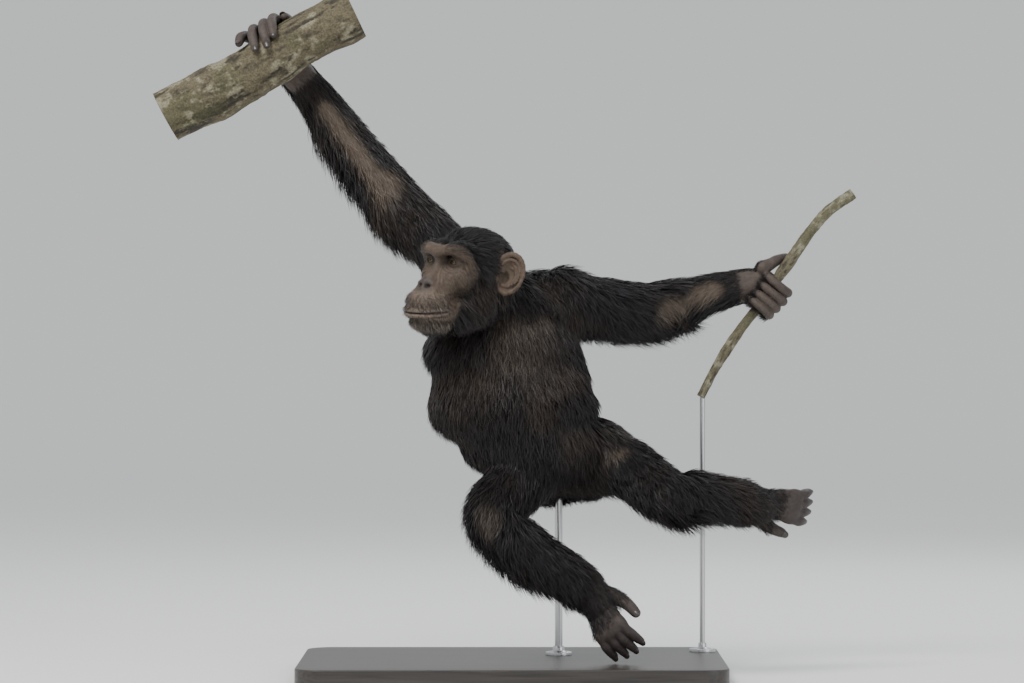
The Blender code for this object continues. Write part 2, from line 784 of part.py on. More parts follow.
def make_branch(bark):
    stations = []
    count = 11
    for step in range(count + 1):
        along = BRANCH_REACH[0] + (BRANCH_REACH[1] - BRANCH_REACH[0]) * step / count
        bend = 0.004 * math.sin(21 * along)
        swell = 1 + 0.035 * math.sin(47 * along + 1.0) + 0.02 * math.sin(95 * along)
        centre = BRANCH_GRIP + BRANCH_AXIS * along + BRANCH_UP * bend
        stations.append((*centre, BRANCH_RADIUS * swell * (1 - 0.25 * along)))
    return rod_along("branch_perch", stations, 14, bark)


def make_stem(bark):
    stations = []
    for index, point in enumerate(STEM_LINE):
        knot = 1.16 if index in (3, 7) else 1.0
        taper = 1.18 - 0.035 * index
        stations.append((*point, STEM_RADIUS * knot * taper))
    return rod_along("stem_perch", stations, 8, bark)


def on_branch(along, degrees, distance):
    """A point round the branch: 0 degrees is behind it, 90 on top, 180 in front."""
    angle = math.radians(degrees)
    return BRANCH_GRIP + BRANCH_AXIS * along + (AWAY * math.cos(angle) + BRANCH_UP * math.sin(angle)) * distance


# Right fingers, little to index: (places along the branch at the knuckle and the tip, reach in degrees).
RIGHT_FINGERS = [(-0.004, -0.034, 118), (0.013, -0.012, 152), (0.034, 0.009, 158), (0.054, 0.028, 146)]


def right_finger(knuckle, tip, reach):
    distance = BRANCH_RADIUS + FINGER_RADIUS + 0.0022
    stations = []
    for share, grow in ((0.0, 1.12), (0.22, 1.0), (0.45, 1.10), (0.62, 0.95), (0.78, 1.02), (1.0, 0.80)):
        degrees = 38 + (reach - 38) * share
        lift = 0.004 * math.sin(math.pi * share)
        along = knuckle + (tip - knuckle) * share
        stations.append((*on_branch(along, degrees, distance + lift), FINGER_RADIUS * grow))
    return stations


def make_right_hand(skin, branch):
    wrist, arm = end_of(RIGHT_ARM)
    axes = Matrix((BRANCH_AXIS, AWAY, BRANCH_UP)).transposed()
    palm = on_branch(0.022, -8, BRANCH_RADIUS + 0.016)
    knuckles = on_branch(0.024, 40, BRANCH_RADIUS + 0.012)
    blocks = limb([(*(wrist - arm * 0.03), 0.030), (*wrist, 0.0275), (*(wrist + arm * 0.02), 0.024)])
    blocks.append(bridge((wrist + arm * 0.012, (0.027, 0.019, 0.020)), (palm, (0.036, 0.015, 0.024)), axes))
    blocks.append(bridge((palm, (0.036, 0.015, 0.024)), (knuckles, (0.036, 0.013, 0.010)), axes))
    for finger in RIGHT_FINGERS:
        blocks += limb(right_finger(*finger))
    thumb = [(0.050, -14, 0.016, 0.012), (0.062, 22, 0.012, 0.0098), (0.063, 58, 0.0105, 0.0092), (0.060, 84, 0.0098, 0.0078)]
    blocks += limb([(*on_branch(a, d, BRANCH_RADIUS + off), r) for a, d, off, r in thumb])
    hand = blended("hand_right", blocks, HAND_VOXEL, 2, HAND_FACES)
    keep_side(hand, wrist + arm * GAP, arm)
    clear_of(hand, branch)
    hand.data.materials.append(skin)
    return hand


STEM_GRIP = Vector((0.478, 0.150, 0.700))
STEM_AXIS = Vector((0.559, 0.0, 0.829)).normalized()
STEM_OUT = Vector((0.829, 0.0, -0.559)).normalized()


def on_stem(along, degrees, distance):
    """A point round the stem: 0 degrees is behind it, 90 on its outer side, 180 in front."""
    angle = math.radians(degrees)
    return STEM_GRIP + STEM_AXIS * along + (AWAY * math.cos(angle) + STEM_OUT * math.sin(angle)) * distance


# Left fingers, index to little: place along the stem, and how far the loop stands off its outer side.
LEFT_FINGERS = [(0.008, 0.0330), (-0.010, 0.0345), (-0.0275, 0.0310), (-0.044, 0.0270)]


def left_finger(along, reach):
    clear = STEM_RADIUS * 1.1 + FINGER_RADIUS * 0.95 + 0.0012
    stations = []
    for degrees, distance, slide, grow in (
        (-38, clear + 0.004, 0.006, 1.10),
        (10, clear + 0.004, 0.003, 0.95),
        (68, reach * 0.80, 0.0, 1.05),
        (105, reach * 0.90, -0.001, 1.05),
        (150, clear + 0.004, 0.0, 0.95),
        (205, clear + 0.0015, 0.002, 0.92),
        (243, clear + 0.003, 0.004, 0.74),
    ):
        stations.append((*on_stem(along + slide, degrees, distance), FINGER_RADIUS * 0.92 * grow))
    return stations


def make_left_hand(skin, stem):
    wrist, arm = end_of(LEFT_ARM)
    palm = on_stem(-0.010, -72, 0.030)
    knuckles = on_stem(-0.014, -30, 0.026)
    axes = Matrix((STEM_OUT, AWAY, STEM_AXIS)).transposed()
    blocks = limb([(*(wrist - arm * 0.03), 0.029), (*wrist, 0.0272), (*(wrist + arm * 0.012), 0.025)])
    blocks.append(bridge((wrist + arm * 0.008, (0.018, 0.019, 0.026)), (palm, (0.013, 0.013, 0.032)), axes))
    blocks.append(bridge((palm, (0.013, 0.013, 0.032)), (knuckles, (0.010, 0.009, 0.034)), axes))
    for finger in LEFT_FINGERS:
        blocks += limb(left_finger(*finger))
    thumb = [(0.020, -92, 0.034, 0.0125), (0.034, -82, 0.026, 0.0102), (0.046, -62, 0.0225, 0.0094), (0.060, -25, 0.0215, 0.0080)]
    blocks += limb([(*on_stem(*t[:3]), t[3]) for t in thumb])
    hand = blended("hand_left", blocks, HAND_VOXEL, 2, HAND_FACES)
    keep_side(hand, wrist + arm * GAP, arm)
    clear_of(hand, stem)
    hand.data.materials.append(skin)
    return hand


def make_foot(name, stations, forward, inner, curl, skin):
    """A grasping foot: forward runs from the ankle to the toes, inner points to the big toe's side."""
    ankle, shin = end_of(stations)
    forward = Vector(forward).normalized()
    inner = (Vector(inner) - forward * Vector(inner).dot(forward)).normalized()
    top = forward.cross(inner)
    if top.dot(shin) > 0:
        top.negate()
    axes = Matrix((forward, inner, top)).transposed()

    def place(along, across, lift):
        return ankle + axes @ Vector((along, across, lift))

    blocks = limb([(*(ankle - shin * 0.03), stations[5][3]), (*ankle, stations[5][3] * 0.97), (*(ankle + shin * 0.014), 0.024)])
    instep = (place(0.020, 0.0, -0.012), (0.026, 0.022, 0.017))
    heel = (place(-0.020, -0.002, -0.024), (0.017, 0.016, 0.015))
    ball = (place(0.080, -0.006, -0.022), (0.014, 0.029, 0.012))
    blocks += [bridge(instep, heel, axes), bridge(instep, ball, axes), bridge(heel, ball, axes)]
    for toe in range(4):
        across = 0.016 - 0.0145 * toe
        reach = (0.044, 0.048, 0.045, 0.038)[toe]
        toes = []
        for share, grow in ((0.0, 1.1), (0.35, 0.95), (0.6, 1.05), (1.0, 0.82)):
            turn = curl * share
            along = 0.078 + reach * share * math.cos(turn * 0.6)
            drop = -0.020 - reach * share * math.sin(turn)
            toes.append((*place(along, across - 0.004 * share * (toe - 1.5), drop), 0.0085 * grow))
        blocks += limb(toes)
    big = [(0.010, 0.012, -0.020, 0.014), (0.032, 0.030, -0.024, 0.0125), (0.056, 0.042, -0.028, 0.0105), (0.078, 0.047, -0.030, 0.0088)]
    blocks += limb([(*place(*b[:3]), b[3]) for b in big])
    foot = blended(name, blocks, HAND_VOXEL, 3, FOOT_FACES)
    keep_side(foot, ankle + shin * GAP, shin)
    foot.data.materials.append(skin)
    return foot


# The stand


def make_base(finish):
    """A flat plate with rounded corners and a narrow bevel."""
    curve = bpy.data.curves.new("base", "CURVE")
    curve.dimensions = "2D"
    curve.fill_mode = "BOTH"
    curve.extrude = BASE_SIZE[2] / 2 - 0.002
    curve.bevel_depth = 0.002
    curve.bevel_resolution = 1
    spline = curve.splines.new("POLY")
    corners = []
    for index, (sx, sy) in enumerate(((1, 1), (-1, 1), (-1, -1), (1, -1))):
        for step in range(5):
            angle = math.radians(90 * index + 22.5 * step)
            x = sx * (BASE_SIZE[0] / 2 - BASE_CORNER) + (BASE_CORNER - 0.002) * math.cos(angle)
            y = sy * (BASE_SIZE[1] / 2 - BASE_CORNER) + (BASE_CORNER - 0.002) * math.sin(angle)
            corners.append((x, y))
    spline.points.add(len(corners) - 1)
    for point, (x, y) in zip(spline.points, corners):
        point.co = (x, y, 0.0, 1.0)
    spline.use_cyclic_u = True
    line = bpy.data.objects.new("base_line", curve)
    bpy.context.scene.collection.objects.link(line)
    bpy.context.view_layer.update()
    graph = bpy.context.evaluated_depsgraph_get()
    mesh = bpy.data.meshes.new_from_object(line.evaluated_get(graph))
    bpy.data.objects.remove(line)
    bm = bmesh.new()
    bm.from_mesh(mesh)
    bmesh.ops.remove_doubles(bm, verts=bm.verts, dist=1e-5)
    bm.transform(Matrix.Translation((0, 0, BASE_SIZE[2] / 2)))
    base = object_of("stand_base", bm)
    base.data.materials.append(finish)
    return base


def make_rod(name, top, radius, finish):
    """A steel rod that stands on the base in a round flange."""
    x, y, z = top
    floor = BASE_SIZE[2] + GAP
    bm = bmesh.new()
    profile = [
        (0.0, floor),
        (FLANGE_RADIUS, floor),
        (FLANGE_RADIUS, floor + FLANGE_HEIGHT * 0.7),
        (FLANGE_RADIUS * 0.85, floor + FLANGE_HEIGHT),
        (radius, floor + FLANGE_HEIGHT),
        (radius, z),
        (0.0, z),
    ]
    verts = [bm.verts.new((x + r, y, h)) for r, h in profile]
    edges = [bm.edges.new(pair) for pair in zip(verts, verts[1:])]
    bmesh.ops.spin(
        bm, geom=verts + edges, cent=(x, y, 0), axis=(0, 0, 1), angle=math.tau, steps=14, use_merge=True
    )
    bmesh.ops.remove_doubles(bm, verts=bm.verts, dist=1e-6)
    rod = object_of(name, bm)
    rod.data.materials.append(finish)
    return rod


def main():
    clear_scene()
    coat = material("coat", (0.018, 0.017, 0.017), 0.62)
    face = material("face", (0.105, 0.075, 0.055), 0.55)
    palm = material("palm", (0.070, 0.052, 0.043), 0.55)
    iris = material("iris", (0.075, 0.040, 0.014), 0.10)
    bark = material("branch_bark", (0.125, 0.115, 0.070), 0.85)
    rind = material("stem_bark", (0.200, 0.185, 0.120), 0.80)
    board = material("stand_board", (0.030, 0.028, 0.027), 0.45)
    steel = material("stand_steel", (0.50, 0.50, 0.51), 0.32, 1.0)

    branch = make_branch(bark)
    stem = make_stem(rind)
    head = make_head(face)
    neck = blended("neck", [bridge(*NECK, detail=3)], 0.005, 3, 220)
    neck.data.materials.append(coat)
    body = blended("body", trunk_blocks(), BODY_VOXEL, 5, BODY_FACES)
    coated(body, LOCK_SPACING, stretches(), bare_body)
    clear_of(body, branch, stem)
    nodes = parted(body, coat)
    clear_of(head, neck)
    clear_of(nodes["chest"], neck)
    clear_of(nodes["chest"], head, gap=4 * GAP)
    clear_of(nodes["upper_arm_right"], head, gap=4 * GAP)
    make_ear("ear_left", 1, (head, neck, nodes["chest"]), face)
    make_ear("ear_right", -1, (head, neck, nodes["chest"], nodes["upper_arm_right"]), face)
    for name, side in (("eye_left", 1), ("eye_right", -1)):
        eyeball(name, side, EYE_RADIUS).data.materials.append(iris)
    make_right_hand(palm, branch)
    make_left_hand(palm, stem)
    make_foot("foot_right", RIGHT_LEG, (0.42, -0.50, -0.75), (0.75, -0.35, 0.30), 0.9, palm)
    make_foot("foot_left", LEFT_LEG, (0.88, 0.20, -0.20), (-0.25, 0.15, -0.95), 0.8, palm)
    make_base(board)
    clear_of(nodes["pelvis"], make_rod("stand_rod_body", BODY_ROD_TOP, BODY_ROD_RADIUS, steel))
    clear_of(stem, make_rod("stand_rod_stem", (0.350, 0.150, 0.508), STEM_ROD_RADIUS, steel))
    gather_parts("chimpanzee")


main()
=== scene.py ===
"""Looks for the chimpanzee: its skin, coat, eyes and nails, the perches, the stand and the studio.

Everything is in the part's own frame: metres, +Z up, +X to the viewer's right, the camera looks
along +Y. "Right" and "left" in names are the animal's own sides. The skin is sculpted as soft
shapes joined on grids of distances, fine on the face, hands and feet and coarse under the coat.
"""

import math

import bpy
import numpy as np
import openvdb
from mathutils import Matrix, Vector
from mathutils.bvhtree import BVHTree


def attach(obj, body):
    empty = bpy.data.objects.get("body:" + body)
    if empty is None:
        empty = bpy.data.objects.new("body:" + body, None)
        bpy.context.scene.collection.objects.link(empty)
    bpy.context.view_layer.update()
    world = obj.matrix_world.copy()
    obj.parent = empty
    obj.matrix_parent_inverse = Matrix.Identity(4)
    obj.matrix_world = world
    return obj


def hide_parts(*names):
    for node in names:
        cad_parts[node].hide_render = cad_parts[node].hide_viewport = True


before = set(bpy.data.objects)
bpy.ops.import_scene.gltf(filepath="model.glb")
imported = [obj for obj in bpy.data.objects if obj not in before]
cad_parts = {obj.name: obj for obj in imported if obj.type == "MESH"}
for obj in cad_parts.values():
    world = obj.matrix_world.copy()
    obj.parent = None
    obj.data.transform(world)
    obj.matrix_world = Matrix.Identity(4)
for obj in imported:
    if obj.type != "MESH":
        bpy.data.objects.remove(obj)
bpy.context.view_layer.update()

# Sizes shared with the part's source

HEAD_ORIGIN = np.array((-0.125, -0.130, 0.742))  # midway between the pupils
HEAD_YAW = math.radians(42)
HEAD_ROLL = math.radians(-6)
EYE_RADIUS = 0.0108
EYE_SPREAD = 0.0275
EYE_DEPTH = 0.0115
EAR_HEIGHT = 0.076
EAR_WIDTH = 0.056
BRANCH_RADIUS = 0.0475
STEM_RADIUS = 0.0092
FINGER_RADIUS = 0.0088

# Rows of (x, y, z, radius) along the bones of each limb, out to the surface of the coat
RIGHT_ARM = [
    (-0.088, 0.044, 0.725, 0.060),
    (-0.152, 0.060, 0.798, 0.056),
    (-0.202, 0.068, 0.846, 0.056),
    (-0.242, 0.075, 0.899, 0.051),
    (-0.308, 0.085, 0.985, 0.045),
    (-0.348, 0.090, 1.038, 0.035),
    (-0.383, 0.088, 1.077, 0.028),
    (-0.398, 0.086, 1.096, 0.026),
]
LEFT_ARM = [
    (0.080, 0.045, 0.679, 0.062),
    (0.160, 0.080, 0.666, 0.060),
    (0.234, 0.115, 0.663, 0.054),
    (0.277, 0.130, 0.671, 0.050),
    (0.331, 0.145, 0.682, 0.043),
    (0.370, 0.155, 0.693, 0.035),
    (0.422, 0.165, 0.702, 0.028),
    (0.445, 0.167, 0.706, 0.026),
]
RIGHT_LEG = [
    (0.051, 0.020, 0.404, 0.074),
    (-0.004, -0.060, 0.339, 0.064),
    (-0.032, -0.125, 0.297, 0.051),
    (0.027, -0.120, 0.233, 0.053),
    (0.097, -0.115, 0.190, 0.044),
    (0.135, -0.110, 0.160, 0.031),
    (0.148, -0.112, 0.142, 0.028),
]
LEFT_LEG = [
    (0.141, 0.040, 0.400, 0.070),
    (0.208, -0.020, 0.377, 0.057),
    (0.275, -0.090, 0.334, 0.050),
    (0.321, -0.065, 0.328, 0.049),
    (0.397, -0.020, 0.319, 0.038),
    (0.432, 0.000, 0.309, 0.030),
    (0.448, 0.006, 0.304, 0.028),
]
LIMBS = (RIGHT_ARM, LEFT_ARM, RIGHT_LEG, LEFT_LEG)

TORSO_TURN = math.radians(8)
TRUNK = [
    ((-0.010, 0.030, 0.655), (0.125, 0.095, 0.062)),
    ((-0.014, 0.018, 0.590), (0.136, 0.112, 0.085)),
    ((0.004, 0.002, 0.496), (0.150, 0.122, 0.085)),
    ((0.041, 0.010, 0.425), (0.133, 0.110, 0.065)),
    ((0.088, 0.045, 0.392), (0.100, 0.088, 0.058)),
]
RUMP = [((0.062, 0.085, 0.372), (0.068,) * 3), ((0.135, 0.090, 0.382), (0.066,) * 3)]
NECK = [
    ((-0.012, 0.010, 0.672), (0.078, 0.070, 0.060)),
    ((-0.048, -0.045, 0.700), (0.060, 0.060, 0.062)),
]

# Sizes of the looks

BODY_CELL = 0.005
FACE_CELL = 0.0011
EAR_CELL = 0.0011
HAND_CELL = 0.0014
FAR = 0.05  # distances are kept up to this
COAT_DEPTH = 0.018  # from the outline of the coat in to the skin
WRIST_RADIUS = 0.026  # a limb this thin has hardly any coat


# Frames


def unit(vector):
    vector = np.asarray(vector, float)
    return vector / np.linalg.norm(vector)


def turned(angle, axis):
    return np.array(Matrix.Rotation(angle, 3, Vector(axis)))


def head_axes():
    forward = np.array((-math.sin(HEAD_YAW), -math.cos(HEAD_YAW), 0.0))
    left = np.array((math.cos(HEAD_YAW), -math.sin(HEAD_YAW), 0.0))
    tilt = turned(HEAD_ROLL, forward)
    return np.stack((forward, tilt @ left, tilt @ (0.0, 0.0, 1.0)), axis=1)


HEAD_AXES = head_axes()
TORSO_AXES = turned(TORSO_TURN, (0, 0, 1))


def in_head(forward, left, up):
    """A point in the head's frame, in centimetres: forward, to its left, and up."""
    return HEAD_ORIGIN + HEAD_AXES @ (np.array((forward, left, up)) * 0.01)


def head_place(points):
    """World points in the head's frame, in centimetres."""
    return (points - HEAD_ORIGIN) @ HEAD_AXES * 100


def end_of(stations):
    """The wrist or ankle of a limb, and the way the limb points there."""
    point = np.array(stations[-2][:3])
    return point, unit(point - np.array(stations[-3][:3]))


# Soft shapes: an ellipsoid, or the sweep from one ellipsoid to another, in axes of its own


def blob(centre, radii, axes=np.eye(3)):
    return sweep((centre, radii), (centre, radii), axes)


def sweep(first, second, axes=np.eye(3)):
    (c1, r1), (c2, r2) = first, second
    return (np.array(c1, float), np.array(r1, float), np.array(c2, float), np.array(r2, float), axes)


def chain(stations):
    """Round sweeps from each station (x, y, z, radius) to the next."""
    ends = [(s[:3], (s[3],) * 3) for s in stations]
    return [sweep(a, b) for a, b in zip(ends, ends[1:])]


def soft_min(a, b, blend):
    gap = np.maximum(blend - np.abs(a - b), 0.0) / blend
    return np.minimum(a, b) - gap * gap * (blend * 0.25)


class Field:
    """Signed distances on a regular grid in a frame of its own, with soft shapes joined or carved."""

    def __init__(self, low, high, cell, axes=np.eye(3), origin=(0.0, 0.0, 0.0)):
        self.low = np.array(low, float)
        self.cell = cell
        self.shape = np.ceil((np.array(high) - low) / cell).astype(int) + 1
        self.axes = np.array(axes)
        self.origin = np.array(origin, float)
        self.values = np.full(tuple(self.shape), FAR, np.float32)

    def block(self, centre, reach):
        """The slices of the grid within reach of a world point, or None."""
        local = self.axes.T @ (centre - self.origin)
        first = np.maximum(np.floor((local - reach - self.low) / self.cell).astype(int), 0)
        last = np.minimum(np.ceil((local + reach - self.low) / self.cell).astype(int) + 1, self.shape)
        if np.any(first >= last):
            return None
        return tuple(slice(a, b) for a, b in zip(first, last))

    def along_axes(self, span, centre, axes):
        """The coordinates of the block's points from centre, along each of the given axes."""
        ticks = [self.low[i] + self.cell * np.arange(span[i].start, span[i].stop) for i in range(3)]
        mix = (axes.T @ self.axes).astype(np.float32)
        shift = axes.T @ (self.origin - centre)
        x, y, z = (t.astype(np.float32) for t in ticks)
        return [
            (mix[i, 0] * x + np.float32(shift[i]))[:, None, None]
            + (mix[i, 1] * y)[None, :, None]
            + (mix[i, 2] * z)[None, None, :]
            for i in range(3)
        ]

    def distance(self, shape, span):
        """Roughly the distance from the block's points to the surface of one shape."""
        c1, r1, c2, r2, axes = shape
        q = self.along_axes(span, c1, axes)
        step = axes.T @ (c2 - c1)
        length = float(step @ step)
        if length < 1e-12:
            radii = [np.float32(r) for r in r1]
        else:
            share = sum(np.float32(step[i]) * q[i] for i in range(3)) / np.float32(length)
            share = np.clip(share, 0.0, 1.0)
            q = [q[i] - np.float32(step[i]) * share for i in range(3)]
            radii = [np.float32(r1[i]) + np.float32(r2[i] - r1[i]) * share for i in range(3)]
        near = np.sqrt(sum((q[i] / radii[i]) ** 2 for i in range(3)))
        steep = np.sqrt(sum((q[i] / radii[i] ** 2) ** 2 for i in range(3)))
        return near * (near - 1.0) / np.maximum(steep, 1e-6)

    def add(self, shapes, blend, inner=None, carve=False):
        """Joins shapes as one group, soft among themselves by inner and with the rest by blend."""
        shapes = shapes if isinstance(shapes, list) else [shapes]
        inner = inner or blend
        centres = np.array([s[k] for s in shapes for k in (0, 2)])
        middle = (centres.min(0) + centres.max(0)) / 2
        widest = max(max(s[1].max(), s[3].max()) for s in shapes)
        reach = np.linalg.norm(centres - middle, axis=1).max() + widest + blend + 2 * self.cell
        span = self.block(middle, reach)
        if span is None:
            return
        group = None
        for shape in shapes:
            d = self.distance(shape, span)
            group = d if group is None else soft_min(group, d, inner)
        here = self.values[span]
        if carve:
            self.values[span] = -soft_min(-here, group, blend)
        else:
            self.values[span] = soft_min(here, group, blend)

    def mesh(self, keep):
        """The points, outward normals and quads of the surface, for faces whose middles keep allows."""
        grid = openvdb.FloatGrid(FAR)
        grid.copyFromArray(np.clip(self.values, -0.02, 0.02))
        points, quads = grid.convertToQuads(0.0)
        points = (self.low + points * self.cell) @ self.axes.T + self.origin
        quads = quads[keep(points[quads].mean(axis=1))]
        used, quads = np.unique(quads, return_inverse=True)
        return points[used], quads.reshape(-1, 4)


# The animal's body, sculpted


def skin_radius(radius):
    """The radius of a limb's skin where its coat reaches out to radius."""
    return radius - COAT_DEPTH * min(1.0, max(0.0, (radius - WRIST_RADIUS) / 0.020))


def skinned(stations):
    return [(x, y, z, skin_radius(r)) for x, y, z, r in stations]


def inside(block, depth=COAT_DEPTH):
    centre, radii = block
    return centre, tuple(r - depth for r in radii)


def sculpt_trunk(field):
    rows = [inside(block) for block in TRUNK]
    field.add([sweep(a, b, TORSO_AXES) for a, b in zip(rows, rows[1:])], 0.03, 0.05)
    field.add(sweep(*[inside(block) for block in RUMP]), 0.04)
    field.add(sweep(*[inside(block, 0.016) for block in NECK]), 0.03)
    for stations, root in ((RIGHT_ARM, 0.036), (LEFT_ARM, 0.038)):
        field.add(sweep((stations[0][:3], (root,) * 3), rows[0], TORSO_AXES), 0.03)
    for stations in LIMBS:
        field.add(chain(rounded(skinned(stations))), 0.035, 0.004)


def head_blob(centre, radii, turn=0.0, roll=0.0):
    """An ellipsoid in the head, in centimetres, turned about the head's up and forward axes."""
    axes = HEAD_AXES @ turned(turn, (0, 0, 1)) @ turned(roll, (1, 0, 0))
    return blob(in_head(*centre), [r * 0.01 for r in radii], axes)


def head_sweep(first, second):
    ends = [(in_head(*centre), [r * 0.01 for r in radii]) for centre, radii in (first, second)]
    return sweep(*ends, HEAD_AXES)


def head_chain(points, side=1):
    """Round sweeps through points (forward, left, up, radius) in the head, in centimetres."""
    return chain([(*in_head(f, left * side, u), r * 0.01) for f, left, u, r in points])


def lip_bow(height, grow, radius, tuck=0.0):
    """The bow of a lip round the muzzle, thinner and higher towards the corners of the mouth."""
    points = []
    for step in range(-10, 11):
        angle = math.radians(8.0 * step)
        edge = abs(step) / 10
        points.append(
            (
                0.8 + (5.60 + grow) * math.cos(angle) - tuck,
                (4.15 + grow) * math.sin(angle),
                height + 0.62 * edge**2 - 0.13,
                radius * (1 - 0.6 * edge**2),
            )
        )
    return points


def sculpt_head(field):
    add = field.add
    add(head_blob((-8.2, 0, 0.6), (7.0, 6.0, 5.0)), 0.006)
    add(head_blob((-11.0, 0, -3.2), (4.0, 5.0, 4.6)), 0.02)
    add(head_sweep(((-2.8, 0, -1.4), (3.0, 4.5, 2.9)), ((2.0, 0, -6.2), (2.7, 3.2, 2.6))), 0.010)
    add(head_blob((2.5, 0, -7.25), (3.95, 3.8, 2.45)), 0.010)
    add(head_blob((2.0, 0, -10.0), (3.5, 3.3, 2.3)), 0.008)
    for side in (1, -1):
        chin = ((0.8, 1.9 * side, -9.8), (2.1, 1.9, 2.0))
        jaw = ((-6.3, 3.6 * side, -6.4), (2.8, 2.2, 3.0))
        add(head_sweep(chin, jaw), 0.012)
        add(head_blob((-2.4, 3.6 * side, -2.7), (2.5, 2.1, 2.3)), 0.012)
        add(head_blob((-6.4, 3.4 * side, -3.6), (3.8, 2.3, 4.6)), 0.015)
    sculpt_brow(field)
    sculpt_nose(field)
    sculpt_mouth(field)
    for side in (1, -1):
        sculpt_eye(field, side)


def sculpt_brow(field):
    """The bar over both eyes, with a dip over the nose, running down the outer edge of each orbit."""
    for side in (1, -1):
        bar = [
            (-3.3, 4.95, -2.2, 0.70),
            (-2.7, 5.0, -0.7, 0.82),
            (-1.5, 4.65, 0.95, 0.92),
            (-0.15, 3.7, 1.80, 1.0),
            (0.70, 2.4, 2.02, 0.96),
            (0.75, 1.0, 1.78, 0.84),
            (0.60, 0, 1.62, 0.78),
        ]
        field.add(head_chain(rounded(bar), side), 0.013, 0.004)
        field.add(head_blob((-1.6, 2.4 * side, 2.5), (2.0, 2.2, 0.9)), 0.010)


def sculpt_nose(field):
    bridge = [(0.1, 0, 0.3, 0.72), (0.8, 0, -1.0, 0.66), (1.7, 0, -2.2, 0.75), (2.7, 0, -3.2, 0.92)]
    field.add(head_chain(rounded(bridge)), 0.009, 0.003)
    field.add(head_blob((3.15, 0, -3.70), (1.05, 1.10, 0.70)), 0.006)
    for side in (1, -1):
        field.add(head_blob((2.80, 1.25 * side, -4.02), (1.05, 0.80, 0.64), turn=0.35 * side), 0.005)
        ridge = [
            (2.0, 1.95, -3.8, 0.34),
            (2.7, 2.05, -4.6, 0.30),
            (3.6, 1.35, -5.1, 0.27),
            (4.1, 0.3, -5.05, 0.25),
        ]
        field.add(head_chain(rounded(ridge), side), 0.006, 0.002)
        place = (3.98, 0.80 * side, -4.42)
        nostril = head_blob(place, (0.60, 0.46, 0.32), turn=-0.3 * side, roll=0.25 * side)
        field.add(nostril, 0.003, carve=True)
    field.add(head_chain([(4.05, 0, -4.1, 0.24), (4.35, 0, -4.9, 0.20)]), 0.003)


def sculpt_mouth(field):
    field.add(head_chain(lip_bow(-8.80, 0.0, 0.36)), 0.010, 0.003)
    field.add(head_chain(lip_bow(-9.50, 0.0, 0.38, 0.1)), 0.008, 0.003)
    field.add(head_chain(lip_bow(-9.14, 0.36, 0.10)), 0.003, 0.002, carve=True)
    field.add(head_chain(lip_bow(-9.14, 0.12, 0.08)), 0.002, 0.002, carve=True)


def sculpt_eye(field, side):
    """A hollow under the brow, soft lids round the ball, and the opening between them."""
    across = EYE_SPREAD * 100
    field.add(head_blob((0.95, across * side, 0.10), (1.35, 1.80, 1.12)), 0.007, carve=True)
    field.add(head_blob((-EYE_DEPTH * 100, across * side, 0), (1.27, 1.32, 1.24)), 0.005)
    for height, radius in ((0.66, 0.23), (-0.64, 0.18)):
        rim = [
            (*in_head(f, across * side + left * side, u), radius * 0.01)
            for f, left, u in eye_rim(1.16, height)
        ]
        field.add(chain(rim), 0.0024, 0.001)
    opening = head_blob((0.35, across * side, -0.01), (1.0, 0.90, 0.43), roll=-0.07 * side)
    field.add(opening, 0.0010, carve=True)
    hollow = head_blob((-EYE_DEPTH * 100, across * side, 0), (EYE_RADIUS * 100 + 0.02,) * 3)
    field.add(hollow, 0.0006, carve=True)


def eye_rim(half_width, height):
    """The edge of one lid over the eyeball, relative to the pupil's place."""
    ball = EYE_RADIUS * 100 + 0.13
    points = []
    for step in range(-6, 7):
        left = half_width * step / 6
        up = height * math.cos(math.pi / 2 * step / 6) ** 0.8 if abs(step) < 6 else 0.0
        points.append((math.sqrt(max(ball**2 - left**2 - up**2, 0.05)) - EYE_DEPTH * 100, left, up))
    return points


class Ear:
    """The frame of one ear: across from its front edge to its back one, along up it, and lift behind it."""

    def __init__(self, side):
        out = HEAD_AXES @ (-0.66, 0.75 * side, 0.0)
        up = unit(HEAD_AXES @ (-0.10, 0.06 * side, 0.99))
        face = np.cross(out, up) * side
        self.middle = in_head(-9.7, 7.5 * side, -1.4)
        self.axes = np.stack((out, up, -face), axis=1)
        self.size = np.array((EAR_WIDTH / 2, EAR_HEIGHT / 2, 1.0))

    def at(self, across, along, lift):
        return self.middle + self.axes @ (self.size * (across, along, lift))

    def line(self, *points):
        """A chain of (across, along, lift, radius), the last two in metres."""
        return chain([(*self.at(*p[:3]), p[3]) for p in points])

    def blob(self, place, radii):
        return blob(self.at(*place), radii, self.axes)

    def arc(self, first, last, reach, lift, radius, steps=14):
        points = []
        for step in range(steps + 1):
            angle = math.radians(first + (last - first) * step / steps)
            thick = radius * (1 + 0.25 * math.sin(angle))
            points.append((math.cos(angle) * reach, math.sin(angle) * reach, lift, thick))
        return self.line(*points)


